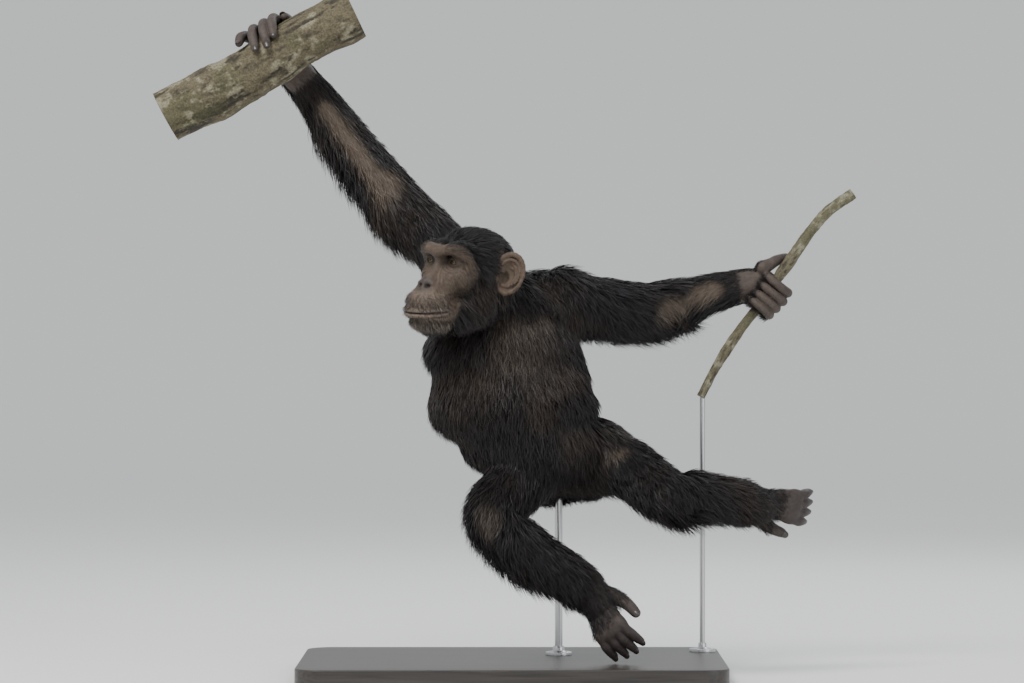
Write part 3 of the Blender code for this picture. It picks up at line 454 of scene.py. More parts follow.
def sculpt_ear(field, side):
    ear = Ear(side)
    half_w, half_h = ear.size[:2]
    root = [
        sweep(
            (ear.at(-0.95, 0.08, 0.009), (0.009, 0.022, 0.009)),
            (ear.at(0.05, 0.0, 0.005), (0.012, 0.020, 0.005)),
            ear.axes,
        )
    ]
    field.add(root, 0.006)
    field.add(ear.blob((0, 0, 0.001), (half_w * 0.95, half_h * 0.95, 0.0042)), 0.004)
    field.add(ear.blob((0.04, 0.14, -0.0118), (half_w * 0.74, half_h * 0.72, 0.0112)), 0.0025, carve=True)
    field.add(ear.arc(-70, 158, 0.91, -0.0042, 0.0036), 0.003, 0.002)
    lobe = ear.line(
        (0.31, -0.85, -0.003, 0.0036),
        (-0.05, -0.93, -0.001, 0.0050),
        (-0.42, -0.80, 0.0, 0.0046),
        (-0.72, -0.52, 0.001, 0.0040),
    )
    field.add(lobe, 0.004, 0.002)
    field.add(ear.arc(-40, 140, 0.66, -0.0052, 0.0021), 0.0022, 0.002)
    inner_fold = ear.line(
        (0.30, -0.50, -0.0035, 0.0030),
        (0.48, -0.10, -0.004, 0.0026),
        (0.38, 0.28, -0.003, 0.0026),
        (0.10, 0.52, -0.001, 0.0022),
    )
    field.add(inner_fold, 0.003, 0.002)
    field.add(ear.line((0.42, 0.16, -0.002, 0.0022), (0.02, 0.30, 0.0, 0.0020)), 0.003, 0.002)
    field.add(ear.blob((-0.28, -0.14, -0.006), (half_w * 0.40, half_h * 0.34, 0.0105)), 0.002, carve=True)
    crus = ear.line(
        (-0.88, 0.42, -0.001, 0.0038),
        (-0.70, 0.16, -0.001, 0.0034),
        (-0.36, 0.06, 0.001, 0.0024),
    )
    field.add(crus, 0.004, 0.002)
    field.add(ear.blob((-0.74, -0.26, -0.004), (0.0042, 0.0075, 0.0042)), 0.003)
    field.add(ear.line((-0.30, -0.56, -0.002, 0.0034), (0.10, -0.60, -0.002, 0.0034)), 0.003, 0.002)


# The perches' own frames, and the hands that grip them

BRANCH_AXIS = unit((0.870, 0.0, 0.492))
BRANCH_UP = unit((-0.492, 0.0, 0.870))
BRANCH_GRIP = np.array((-0.436, 0.020, 1.108))
BRANCH_REACH = (-0.215, 0.175)
AWAY = np.array((0.0, 1.0, 0.0))
STEM_GRIP = np.array((0.478, 0.150, 0.700))
STEM_AXIS = unit((0.559, 0.0, 0.829))
STEM_OUT = unit((0.829, 0.0, -0.559))
STEM_LINE = [
    (0.627, 0.150, 0.872),
    (0.582, 0.150, 0.840),
    (0.546, 0.150, 0.799),
    (0.506, 0.150, 0.741),
    (0.487, 0.150, 0.715),
    (0.461, 0.150, 0.674),
    (0.428, 0.150, 0.633),
    (0.397, 0.150, 0.588),
    (0.370, 0.150, 0.543),
    (0.347, 0.150, 0.498),
]

# Right fingers, little to index: (places along the branch at the knuckle and the tip, reach in degrees)
RIGHT_FINGERS = [(-0.004, -0.034, 118), (0.013, -0.012, 152), (0.034, 0.009, 158), (0.054, 0.028, 146)]
# Left fingers, index to little: place along the stem, and how far the loop stands off its outer side
LEFT_FINGERS = [(0.008, 0.0330), (-0.010, 0.0345), (-0.0275, 0.0310), (-0.044, 0.0270)]


def on_branch(along, degrees, distance):
    """A point round the branch: 0 degrees is behind it, 90 on top, 180 in front."""
    angle = math.radians(degrees)
    out = AWAY * math.cos(angle) + BRANCH_UP * math.sin(angle)
    return BRANCH_GRIP + BRANCH_AXIS * along + out * distance


def on_stem(along, degrees, distance):
    """A point round the stem: 0 degrees is behind it, 90 on its outer side, 180 in front."""
    angle = math.radians(degrees)
    out = AWAY * math.cos(angle) + STEM_OUT * math.sin(angle)
    return STEM_GRIP + STEM_AXIS * along + out * distance


def rounded(stations, steps=4):
    """The same row of stations with a smooth curve through them."""
    before = 2 * np.array(stations[0]) - stations[1]
    beyond = 2 * np.array(stations[-1]) - stations[-2]
    rows = np.array([before, *stations, beyond])
    made = []
    for i in range(1, len(rows) - 2):
        a, b, c, d = rows[i - 1 : i + 3]
        for step in range(steps):
            t = step / steps
            square = (2 * a - 5 * b + 4 * c - d) * t**2
            cube = (3 * b - a - 3 * c + d) * t**3
            made.append(0.5 * (2 * b + (c - a) * t + square + cube))
    made.append(rows[-2])
    return [tuple(m) for m in made]


nails = []  # (tip, the way the digit points, the way its back faces, radius)


def add_digit(field, stations, back):
    """A finger or toe: its knuckles stand in stations, and its nail lies on the side back(tip) gives."""
    path = rounded(stations)
    field.add(chain(path[:5]), 0.007, 0.002)
    field.add(chain(path), 0.0016, 0.002)
    tip = np.array(stations[-1][:3])
    way = unit(tip - np.array(stations[-2][:3]))
    up = back(tip)
    up = unit(up - way * (up @ way))
    if not any(np.allclose(tip, nail[0]) for nail in nails):
        nails.append((tip, way, up, stations[-1][3]))


def away_from(origin, axis):
    """Which way a digit's back faces where it wraps round a perch."""

    def back(point):
        offset = point - origin
        return offset - axis * (offset @ axis)

    return back


def right_finger(knuckle, tip, reach):
    distance = BRANCH_RADIUS + FINGER_RADIUS + 0.0022
    stations = []
    for share, grow in ((0.0, 1.12), (0.22, 0.95), (0.45, 1.10), (0.62, 0.92), (0.78, 1.0), (1.0, 0.80)):
        degrees = 38 + (reach - 38) * share
        lift = 0.004 * math.sin(math.pi * share)
        along = knuckle + (tip - knuckle) * share
        stations.append((*on_branch(along, degrees, distance + lift), FINGER_RADIUS * grow))
    return stations


def sculpt_joint(field, point, way, before, here, reach, after):
    """A wrist or ankle from 30 mm before its point to reach past it, with its three radii."""
    rows = [(*(point - way * 0.03), before), (*point, here), (*(point + way * reach), after)]
    field.add(chain(rows), 0.012)


def sculpt_right_hand(field):
    wrist, arm = end_of(RIGHT_ARM)
    axes = np.stack((BRANCH_AXIS, AWAY, BRANCH_UP), axis=1)
    palm = (on_branch(0.022, -8, BRANCH_RADIUS + 0.016), (0.036, 0.015, 0.024))
    knuckles = (on_branch(0.024, 40, BRANCH_RADIUS + 0.012), (0.036, 0.013, 0.010))
    sculpt_joint(field, wrist, arm, 0.0255, 0.0235, 0.02, 0.0225)
    heel = (wrist + arm * 0.012, (0.026, 0.018, 0.019))
    field.add([sweep(heel, palm, axes), sweep(palm, knuckles, axes)], 0.010)
    back = away_from(BRANCH_GRIP, BRANCH_AXIS)
    for finger in RIGHT_FINGERS:
        add_digit(field, right_finger(*finger), back)
    thumb = [
        (0.050, -14, 0.016, 0.012),
        (0.062, 22, 0.012, 0.0098),
        (0.063, 58, 0.0105, 0.0092),
        (0.060, 84, 0.0098, 0.0078),
    ]
    add_digit(field, [(*on_branch(a, d, BRANCH_RADIUS + off), r) for a, d, off, r in thumb], back)


def left_finger(along, reach):
    clear = STEM_RADIUS * 1.1 + FINGER_RADIUS * 0.95 + 0.0012
    stations = []
    for degrees, distance, slide, grow in (
        (-38, clear + 0.004, 0.006, 1.10),
        (10, clear + 0.004, 0.003, 0.95),
        (68, reach * 0.80, 0.0, 1.05),
        (105, reach * 0.90, -0.001, 1.05),
        (150, clear + 0.004, 0.0, 0.95),
        (205, clear + 0.0015, 0.002, 0.92),
        (243, clear + 0.003, 0.004, 0.74),
    ):
        stations.append((*on_stem(along + slide, degrees, distance), FINGER_RADIUS * 0.92 * grow))
    return stations


def sculpt_left_hand(field):
    wrist, arm = end_of(LEFT_ARM)
    palm = (on_stem(-0.010, -72, 0.030), (0.013, 0.013, 0.032))
    knuckles = (on_stem(-0.014, -30, 0.026), (0.010, 0.009, 0.034))
    axes = np.stack((STEM_OUT, AWAY, STEM_AXIS), axis=1)
    sculpt_joint(field, wrist, arm, 0.0250, 0.0235, 0.012, 0.0230)
    heel = (wrist + arm * 0.008, (0.018, 0.018, 0.025))
    field.add([sweep(heel, palm, axes), sweep(palm, knuckles, axes)], 0.010)
    back = away_from(STEM_GRIP, STEM_AXIS)
    for finger in LEFT_FINGERS:
        add_digit(field, left_finger(*finger), back)
    thumb = [
        (0.020, -92, 0.034, 0.0125),
        (0.034, -82, 0.026, 0.0102),
        (0.046, -62, 0.0225, 0.0094),
        (0.060, -25, 0.0215, 0.0080),
    ]
    add_digit(field, [(*on_stem(*t[:3]), t[3]) for t in thumb], back)


def foot_axes(stations, forward, inner):
    """A foot's own frame: to the toes, to the big toe's side, and out of its back."""
    shin = end_of(stations)[1]
    forward = unit(forward)
    inner = np.array(inner, float)
    inner = unit(inner - forward * (inner @ forward))
    top = np.cross(forward, inner)
    top = -top if top @ shin > 0 else top
    return np.stack((forward, inner, top), axis=1)


def sculpt_foot(field, stations, forward, inner, curl):
    """A grasping foot, sculpted on its ankle."""
    ankle, shin = end_of(stations)
    axes = foot_axes(stations, forward, inner)
    forward, _, top = axes.T

    def place(along, across, lift):
        return ankle + axes @ (along, across, lift)

    sculpt_joint(field, ankle, shin, 0.0255, 0.0245, 0.014, 0.022)
    instep = (place(0.020, 0.0, -0.012), (0.026, 0.021, 0.016))
    heel = (place(-0.020, -0.002, -0.024), (0.017, 0.016, 0.015))
    ball = (place(0.080, -0.006, -0.022), (0.014, 0.029, 0.0115))
    field.add([sweep(instep, heel, axes), sweep(instep, ball, axes), sweep(heel, ball, axes)], 0.010)
    for toe in range(4):
        across = 0.016 - 0.0145 * toe
        reach = (0.044, 0.048, 0.045, 0.038)[toe]
        row = []
        for share, grow in ((0.0, 1.1), (0.35, 0.92), (0.6, 1.05), (1.0, 0.82)):
            turn = curl * share
            along = 0.078 + reach * share * math.cos(turn * 0.6)
            drop = -0.020 - reach * share * math.sin(turn)
            row.append((*place(along, across - 0.004 * share * (toe - 1.5), drop), 0.0085 * grow))
        add_digit(field, row, lambda point: top + forward * 0.3)
    big = [
        (0.010, 0.012, -0.020, 0.014),
        (0.032, 0.030, -0.024, 0.0125),
        (0.056, 0.042, -0.028, 0.0105),
        (0.078, 0.047, -0.030, 0.0088),
    ]
    add_digit(field, [(*place(*b[:3]), b[3]) for b in big], lambda point: top)


RIGHT_FOOT = (RIGHT_LEG, (0.42, -0.50, -0.75), (0.75, -0.35, 0.30), 0.9)
LEFT_FOOT = (LEFT_LEG, (0.88, 0.20, -0.20), (-0.25, 0.15, -0.95), 0.8)


# Each limb with the way its palm or sole faces, and how far past the wrist its back has hair
HANDS = [
    (RIGHT_ARM, (0.0, -1.0, 0.0), 0.050),
    (LEFT_ARM, (0.5, -0.8, -0.3), 0.045),
    (RIGHT_LEG, -foot_axes(*RIGHT_FOOT[:3])[:, 2], 0.060),
    (LEFT_LEG, -foot_axes(*LEFT_FOOT[:3])[:, 2], 0.060),
]


def sculpt(field):
    """Everything that the skin covers; a field takes what falls on its own grid."""
    sculpt_trunk(field)
    sculpt_head(field)
    for side in (1, -1):
        sculpt_ear(field, side)
    sculpt_right_hand(field)
    sculpt_left_hand(field)
    sculpt_foot(field, *RIGHT_FOOT)
    sculpt_foot(field, *LEFT_FOOT)
    return field


# The skin: the fine pieces and the coarse body, each cut where the coat hides the change

FACE_BOX = (np.array((-5.2, -7.2, -13.6)), np.array((7.6, 7.2, 4.6)))  # in the head, in centimetres


def in_face(points, margin=0.0):
    place = head_place(points)
    return np.all((place > FACE_BOX[0] + margin) & (place < FACE_BOX[1] - margin), axis=1)


def in_ear(points, margin=0.0):
    inside_any = np.zeros(len(points), bool)
    for side in (1, -1):
        ear = Ear(side)
        local = (points - ear.middle) @ ear.axes
        reach = np.array((EAR_WIDTH / 2 + 0.008, EAR_HEIGHT / 2 + 0.010, 0.020)) - margin
        low = -reach
        low[0] = -EAR_WIDTH / 2 - 0.006 + margin
        inside_any |= np.all((local > low) & (local < reach), axis=1)
    return inside_any


def past_wrist(points, margin=0.0):
    beyond = np.zeros(len(points), bool)
    for stations in LIMBS:
        point, way = end_of(stations)
        offset = points - point
        beyond |= (offset @ way > margin - 0.012) & (np.linalg.norm(offset, axis=1) < 0.17)
    return beyond


def skin_pieces():
    """The meshes of the skin as (points, quads), the coarse body first."""
    body = sculpt(Field((-0.44, -0.25, 0.02), (0.54, 0.21, 1.18), BODY_CELL))
    pieces = [body.mesh(lambda p: ~(in_face(p, 0.25) | in_ear(p, 0.0025) | past_wrist(p, 0.003)))]
    low, high = FACE_BOX
    face = sculpt(Field(low * 0.01 - 0.01, high * 0.01 + 0.01, FACE_CELL, HEAD_AXES, HEAD_ORIGIN))
    pieces.append(face.mesh(lambda p: in_face(p) & ~in_ear(p, 0.0015)))
    for side in (1, -1):
        ear = Ear(side)
        reach = np.array((0.045, 0.055, 0.030))
        field = sculpt(Field(-reach, reach, EAR_CELL, ear.axes, ear.middle))
        pieces.append(field.mesh(in_ear))
    for stations in LIMBS:
        point, way = end_of(stations)
        across = unit(np.cross(way, (0, 1, 0)))
        axes = np.stack((way, across, np.cross(way, across)), axis=1)
        field = sculpt(Field((-0.03, -0.12, -0.12), (0.17, 0.12, 0.12), HAND_CELL, axes, point))
        pieces.append(field.mesh(past_wrist))
    return pieces


def mesh_object(name, points, faces):
    """A new mesh object from arrays of points and of faces that all have as many corners."""
    mesh = bpy.data.meshes.new(name)
    count, corners = faces.shape
    mesh.vertices.add(len(points))
    mesh.vertices.foreach_set("co", np.ascontiguousarray(points, np.float32).ravel())
    mesh.loops.add(count * corners)
    mesh.loops.foreach_set("vertex_index", np.ascontiguousarray(faces, np.int32).ravel())
    mesh.polygons.add(count)
    mesh.polygons.foreach_set("loop_start", np.arange(count, dtype=np.int32) * corners)
    mesh.update(calc_edges=True)
    mesh.shade_smooth()
    made = bpy.data.objects.new(name, mesh)
    bpy.context.scene.collection.objects.link(made)
    return made


def joined_pieces(pieces):
    """One pair of arrays from several (points, quads)."""
    shift, points, quads = 0, [], []
    for more_points, more_quads in pieces:
        points.append(more_points)
        quads.append(more_quads + shift)
        shift += len(more_points)
    return np.concatenate(points), np.concatenate(quads)


# Materials


def new_material(name, **sockets):
    made = bpy.data.materials.new(name)
    made.use_nodes = True
    shader = made.node_tree.nodes["Principled BSDF"]
    for socket, value in sockets.items():
        shader.inputs[socket.replace("_", " ")].default_value = value
    return made, made.node_tree, shader


def add_node(tree, kind, settings=None, **sockets):
    """A new shader node with its own settings and the default values of its sockets."""
    node = tree.nodes.new("ShaderNode" + kind)
    for setting, value in (settings or {}).items():
        setattr(node, setting, value)
    for socket, value in sockets.items():
        node.inputs[socket.replace("_", " ")].default_value = value
    return node


def object_noise(tree, kind="TexNoise", **sockets):
    """A noise texture in the object's own coordinates."""
    noise = add_node(tree, kind, **sockets)
    place = add_node(tree, "TexCoord")
    tree.links.new(place.outputs["Object"], noise.inputs["Vector"])
    return noise


def stretched_noise(tree, stretch, **sockets):
    """A noise texture drawn out along the object's axes."""
    place = add_node(tree, "TexCoord")
    mapping = add_node(tree, "Mapping", Scale=stretch)
    noise = add_node(tree, "TexNoise", Scale=1.0, **sockets)
    tree.links.new(place.outputs["Object"], mapping.inputs["Vector"])
    tree.links.new(mapping.outputs["Vector"], noise.inputs["Vector"])
    return noise


def colour_by(tree, shader, noise, dark, light, low=0.0, high=1.0):
    """The base colour runs from dark to light as the noise goes from low to high."""
    ramp = add_node(tree, "ValToRGB")
    first, second = ramp.color_ramp.elements
    first.position = low
    second.position = high
    first.color = (*dark, 1)
    second.color = (*light, 1)
    tree.links.new(noise.outputs["Fac"], ramp.inputs["Fac"])
    tree.links.new(ramp.outputs["Color"], shader.inputs["Base Color"])


def tinted(tree, shader, noise, dark, light):
    """The base colour is the points' own tint times the noise, spread from dark to light."""
    tint = add_node(tree, "VertexColor", {"layer_name": "tint"})
    spread = add_node(tree, "MapRange", From_Min=0.3, From_Max=0.7, To_Min=dark, To_Max=light)
    shade = add_node(tree, "Mix", {"data_type": "RGBA", "blend_type": "MULTIPLY"}, Factor=1.0)
    tree.links.new(noise.outputs["Fac"], spread.inputs["Value"])
    tree.links.new(tint.outputs["Color"], shade.inputs["A"])
    tree.links.new(spread.outputs["Result"], shade.inputs["B"])
    tree.links.new(shade.outputs["Result"], shader.inputs["Base Color"])


def bumped(tree, shader, height, strength, distance):
    bump = add_node(tree, "Bump", Strength=strength, Distance=distance)
    tree.links.new(height, bump.inputs["Height"])
    tree.links.new(bump.outputs["Normal"], shader.inputs["Normal"])


# Folds round each eye: (half width, half height, first and last degrees, how wide, how deep), in cm
EYE_FOLDS = [
    (1.42, 1.30, 205, 335, 0.075, 0.045),
    (1.85, 1.65, 200, 325, 0.085, 0.050),
    (2.30, 2.10, 208, 312, 0.09, 0.040),
]
# Other fine folds on the face: (points as (left, up) in centimetres, how wide, how deep)
FACE_FOLDS = [
    ([(1.30, -0.75), (1.55, -1.9), (2.15, -3.1), (2.75, -4.4)], 0.10, 0.075),
    ([(1.75, -1.35), (2.15, -2.4), (2.75, -3.4), (3.3, -4.2)], 0.09, 0.050),
    ([(0.95, -1.1), (1.15, -2.2), (1.65, -3.2), (2.25, -4.2)], 0.09, 0.045),
    ([(2.30, -4.7), (3.05, -5.4), (3.75, -6.5), (4.05, -7.9)], 0.14, 0.060),
    ([(4.15, 0.15), (4.6, 0.35), (5.0, 0.75)], 0.07, 0.035),
    ([(4.15, -0.15), (4.65, -0.25), (5.15, -0.25)], 0.07, 0.035),
    ([(4.0, -0.5), (4.5, -0.95), (4.95, -1.2)], 0.07, 0.035),
    ([(0.45, 1.9), (0.55, 1.2), (0.5, 0.5)], 0.08, 0.040),
    ([(1.2, 1.15), (0.9, 0.6), (0.95, 0.0), (1.15, -0.5)], 0.08, 0.035),
    ([(1.6, 1.35), (2.7, 1.60), (3.9, 1.05)], 0.08, 0.045),
]


def fold_lines():
    """Every fold on both sides of the face as (points, width, depth)."""
    lines = []
    for wide, tall, first, last, width, depth in EYE_FOLDS:
        angles = np.radians(np.linspace(first, last, 9))
        line = [(EYE_SPREAD * 100 + wide * math.cos(a), tall * math.sin(a)) for a in angles]
        lines.append((line, width, depth))
    lines += FACE_FOLDS
    return [([(left * side, up) for left, up in line], w, d) for line, w, d in lines for side in (1, -1)]


def folded(points, normals):
    """How far each point of the skin sinks into the face's folds, in metres."""
    place = head_place(points)
    forward, left, up = place.T
    near = np.flatnonzero((forward > -5) & (np.abs(left) < 6) & (up > -12) & (up < 4))
    front = place[near]
    sink = np.zeros(len(points))
    for line, width, depth in fold_lines():
        path = np.array(rounded([np.array((*p, 0.0)) for p in line], 6))[:, :2]
        gaps = np.full(len(near), np.inf)
        shares = np.zeros(len(near))
        for index, (p, q) in enumerate(zip(path, path[1:])):
            step = q - p
            along = np.clip((front[:, 1:] - p) @ step / max(step @ step, 1e-9), 0, 1)
            gap = np.linalg.norm(front[:, 1:] - p - along[:, None] * step, axis=1)
            nearer = gap < gaps
            gaps[nearer] = gap[nearer]
            shares[nearer] = (index + along[nearer]) / (len(path) - 1)
        fade = np.sin(np.pi * np.clip(shares, 0.04, 0.96)) ** 0.5
        groove = np.exp(-((gaps / width) ** 2))
        groove = groove - 0.35 * np.exp(-(((gaps - 2.2 * width) / (1.2 * width)) ** 2))
        sink[near] += depth * 0.01 * groove * fade
    lips = lip_lines(place)
    return sink * (head_place(points + normals * 0.01)[:, 0] > place[:, 0] - 0.5) + lips


def lip_lines(place):
    """Fine upright wrinkles over both lips."""
    forward, left, up = place.T
    angle = np.arctan2(left / 4.2, (forward - 0.8) / 5.9)
    wave = np.abs(np.sin(angle * 21 + np.sin(up * 2.3) * 0.8)) ** 0.5
    over = smoothstep(-6.3, -7.6, up) * smoothstep(-9.0, -8.6, up)
    below = smoothstep(-9.4, -9.7, up) * smoothstep(-11.0, -10.2, up)
    on_muzzle = smoothstep(0.8, 2.2, forward)
    return 0.00022 * (1 - wave) * (over + below) * on_muzzle


def skin_colours(points, normals):
    """The skin's colour: dark under the coat, brown on the face and ears, grey-brown on hands and feet."""
    forward, left, up = head_place(points).T
    side = np.abs(left)
    made = np.tile((0.045, 0.037, 0.033), (len(points), 1))

    def paint(colour, share):
        nonlocal made
        made = made + (np.array(colour) - made) * np.clip(share, 0, 1)[:, None]

    paint((0.120, 0.090, 0.068), tan_mark(points, normals))
    hidden = smoothstep(-5.5, -2.5, forward) * (side < 7) * (up > -13) * (up < 4.5) * 0.6
    face = np.maximum(face_mark(points), hidden)
    face = face * ((forward > -6) & (forward < 8) & (side < 8) & (up > -14) & (up < 6))
    paint((0.082, 0.058, 0.042), face)
    # painted shade: darker round each eye, under the brow
    orbit = np.exp(-(((side - 2.75) / 1.7) ** 2 + ((up - 0.25) / 1.35) ** 2) ** 1.5)
    paint((0.028, 0.021, 0.017), face * orbit * 0.85)
    # painted shade: darker between the eyes, under the brow
    between = np.exp(-((side / 1.3) ** 2 + ((up - 0.3) / 1.5) ** 2))
    paint((0.036, 0.027, 0.022), face * between * 0.7)
    muzzle = smoothstep(-4.6, -6.2, up) * smoothstep(0.0, 2.4, forward)
    paint((0.155, 0.118, 0.092), face * muzzle * 0.85)
    nose = np.exp(-((side / 1.9) ** 2 + ((up + 4.0) / 1.35) ** 2) ** 2) * smoothstep(1.0, 2.2, forward)
    paint((0.048, 0.041, 0.039), face * nose * 0.85)
    cheek = np.exp(-(((side - 4.0) / 1.5) ** 2 + ((up + 4.3) / 1.9) ** 2))
    paint((0.062, 0.047, 0.030), face * cheek * 0.6)
    lips = np.exp(-(((up + 9.32 - 0.6 * (side / 4.2) ** 2) / 0.50) ** 2)) * smoothstep(1.0, 2.5, forward)
    paint((0.205, 0.158, 0.128), face * lips * 0.7)
    # painted shade in the crease where the lips meet
    lip_parting_shade = np.exp(-(((up + 9.26 - 0.62 * (side / 4.2) ** 2) / 0.13) ** 2)) * smoothstep(0.8, 2.0, forward)
    paint((0.015, 0.010, 0.009), face * lip_parting_shade * 0.9)
    ears = ear_mark(points)
    paint((0.092, 0.064, 0.046), ears)
    for flank in (1, -1):
        ear = Ear(flank)
        across, along, lift = ((points - ear.middle) @ ear.axes / ear.size).T
        # painted shade in the hollow of each ear
        bowl = np.exp(-(((across + 0.15) / 0.55) ** 2 + ((along + 0.02) / 0.6) ** 2))
        bowl = bowl * smoothstep(-0.004, 0.002, lift)
        paint((0.036, 0.028, 0.017), ears * bowl * 0.8 * (np.hypot(across, along) < 1.3))
    for stations, palm, _ in HANDS:
        point, way = end_of(stations)
        along = (points - point) @ way
        near = (np.linalg.norm(points - point, axis=1) < 0.19) & (along > -0.05)
        hand = smoothstep(-0.03, 0.01, along) * near
        paint((0.066, 0.050, 0.042), hand)
        paint((0.040, 0.032, 0.031), hand * smoothstep(0.04, 0.09, along) * 0.8)
        palmward = smoothstep(0.0, 0.6, normals @ unit(palm))
        paint((0.078, 0.060, 0.050), hand * palmward * 0.6)
    mottle = 0.80 + 0.26 * cloud(points, 0.009, 1) + 0.16 * cloud(points, 0.0032, 2)
    return made * mottle[:, None]


def skin_material():
    finish, tree, shader = new_material("skin", Roughness=0.60)
    shader.inputs["Specular IOR Level"].default_value = 0.30
    shader.inputs["Subsurface Weight"].default_value = 0.06
    shader.inputs["Subsurface Scale"].default_value = 0.004
    pores = object_noise(tree, "TexVoronoi", Scale=520)
    creases = object_noise(tree, Scale=170, Detail=5, Distortion=0.8)
    tinted(tree, shader, creases, 0.78, 1.15)
    both = add_node(tree, "Math", {"operation": "MULTIPLY_ADD"})
    both.inputs[1].default_value = 0.45
    tree.links.new(pores.outputs["Distance"], both.inputs[0])
    tree.links.new(creases.outputs["Fac"], both.inputs[2])
    bumped(tree, shader, both.outputs["Value"], 0.55, 0.0009)
    return finish


def paint_points(obj, colours):
    tint = obj.data.color_attributes.new("tint", "FLOAT_COLOR", "POINT")
    full = np.ones((len(colours), 4), np.float32)
    full[:, :3] = colours
    tint.data.foreach_set("color", full.ravel())


def make_skin():
    points, quads = joined_pieces(skin_pieces())
    skin = mesh_object("skin", points, quads)
    points, normals, _ = triangles_of(skin.data)
    points -= normals * folded(points, normals)[:, None]
    skin.data.vertices.foreach_set("co", points.astype(np.float32).ravel())
    skin.data.update()
    paint_points(skin, skin_colours(points, normals))
    skin.data.materials.append(skin_material())
    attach(skin, "root")
    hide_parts(*FLESH)
    return skin


# Eyes and nails

IRIS_RADIUS = 0.0056
PUPIL_RADIUS = 0.0024
CORNEA_RISE = 0.0008
CORNEA_ANGLE = 0.60  # radians from the gaze to the cornea's edge


def make_eye(name, side):
    """An eyeball that bulges at the cornea, its own Z axis along the gaze."""
    rings, spokes = 40, 48
    turn = np.linspace(0, 2 * math.pi, spokes, endpoint=False)
    rows = []
    for i in range(1, rings):
        angle = math.pi * i / rings
        radius = EYE_RADIUS + CORNEA_RISE * max(0.0, 1 - (angle / CORNEA_ANGLE) ** 2)
        flat, height = math.sin(angle), np.full(spokes, math.cos(angle))
        rows.append(np.stack((np.cos(turn) * flat, np.sin(turn) * flat, height), 1) * radius)
    points = np.concatenate([[(0, 0, EYE_RADIUS + CORNEA_RISE)], *rows, [(0, 0, -EYE_RADIUS)]])
    faces = []
    last = len(points) - 1
    for k in range(spokes):
        after = (k + 1) % spokes
        faces.append((0, 1 + k, 1 + after))
        end = 1 + (rings - 2) * spokes
        faces.append((last, end + after, end + k))
        for i in range(rings - 2):
            a, b = 1 + i * spokes + k, 1 + i * spokes + after
            faces += [(a, a + spokes, b + spokes), (a, b + spokes, b)]
    eye = mesh_object("eyeball_" + name, points, np.array(faces))
    gaze = unit(HEAD_AXES @ (1.0, -0.04, 0.02))
    up = unit(HEAD_AXES[:, 2] - gaze * (HEAD_AXES[:, 2] @ gaze))
    axes = np.stack((np.cross(up, gaze), up, gaze), axis=1)
    middle = Vector(in_head(-EYE_DEPTH * 100, EYE_SPREAD * 100 * side, 0))
    eye.matrix_world = Matrix.LocRotScale(middle, Matrix(axes).to_quaternion(), None)
    eye.data.materials.append(eye_material())
    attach(eye, "root")
    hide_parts("eye_" + name)


def eye_material():
    if "eye" in bpy.data.materials:
        return bpy.data.materials["eye"]
    finish, tree, shader = new_material("eye", Roughness=0.14, Coat_Weight=0.35, Coat_Roughness=0.03)
    shader.inputs["Specular IOR Level"].default_value = 0.25
    link = tree.links.new
    place = add_node(tree, "TexCoord")
    flat = add_node(tree, "VectorMath", {"operation": "MULTIPLY"})
    flat.inputs[1].default_value = (1 / EYE_RADIUS, 1 / EYE_RADIUS, 0)
    length = add_node(tree, "VectorMath", {"operation": "LENGTH"})
    link(place.outputs["Object"], flat.inputs[0])
    link(flat.outputs["Vector"], length.inputs[0])
    ramp = add_node(tree, "ValToRGB")
    iris, pupil = IRIS_RADIUS / EYE_RADIUS, PUPIL_RADIUS / EYE_RADIUS
    stops = [
        (0.0, (0.002, 0.002, 0.002)),
        (pupil, (0.002, 0.002, 0.002)),
        (pupil + 0.04, (0.060, 0.036, 0.008)),
        (iris * 0.64, (0.125, 0.078, 0.014)),
        (iris * 0.86, (0.048, 0.030, 0.008)),
        (iris, (0.010, 0.007, 0.005)),
        (iris + 0.16, (0.022, 0.014, 0.010)),
        (1.0, (0.060, 0.030, 0.022)),
    ]
    ramp.color_ramp.elements.remove(ramp.color_ramp.elements[1])
    ramp.color_ramp.elements[0].color = (*stops[0][1], 1)
    for at, colour in stops[1:]:
        ramp.color_ramp.elements.new(at).color = (*colour, 1)
    link(length.outputs["Value"], ramp.inputs["Fac"])
    streaks = object_noise(tree, Scale=900)
    shade = add_node(tree, "Mix", {"data_type": "RGBA", "blend_type": "OVERLAY"}, Factor=0.55)
    link(ramp.outputs["Color"], shade.inputs["A"])
    link(streaks.outputs["Fac"], shade.inputs["B"])
    link(shade.outputs["Result"], shader.inputs["Base Color"])
    return finish


NAIL_ROW = 9  # points along and across each side of a nail


def nail_faces(top):
    """The quads of a plate whose upper side's points start at top, and its lower side's after them."""
    row, sheet = NAIL_ROW, NAIL_ROW**2
    low = top + sheet
    faces = []
    for r in range(row - 1):
        for c in range(row - 1):
            a = r * row + c
            quad = (a, a + 1, a + row + 1, a + row)
            faces.append([top + k for k in quad])
            faces.append([low + k for k in quad[::-1]])
    ring = [*range(row), *range(2 * row - 1, sheet, row)]
    ring += [*range(sheet - 2, sheet - row - 1, -1), *range(sheet - 2 * row, 0, -row)]
    for a, b in zip(ring, ring[1:] + ring[:1]):
        faces.append([top + b, top + a, low + a, low + b])
    return faces


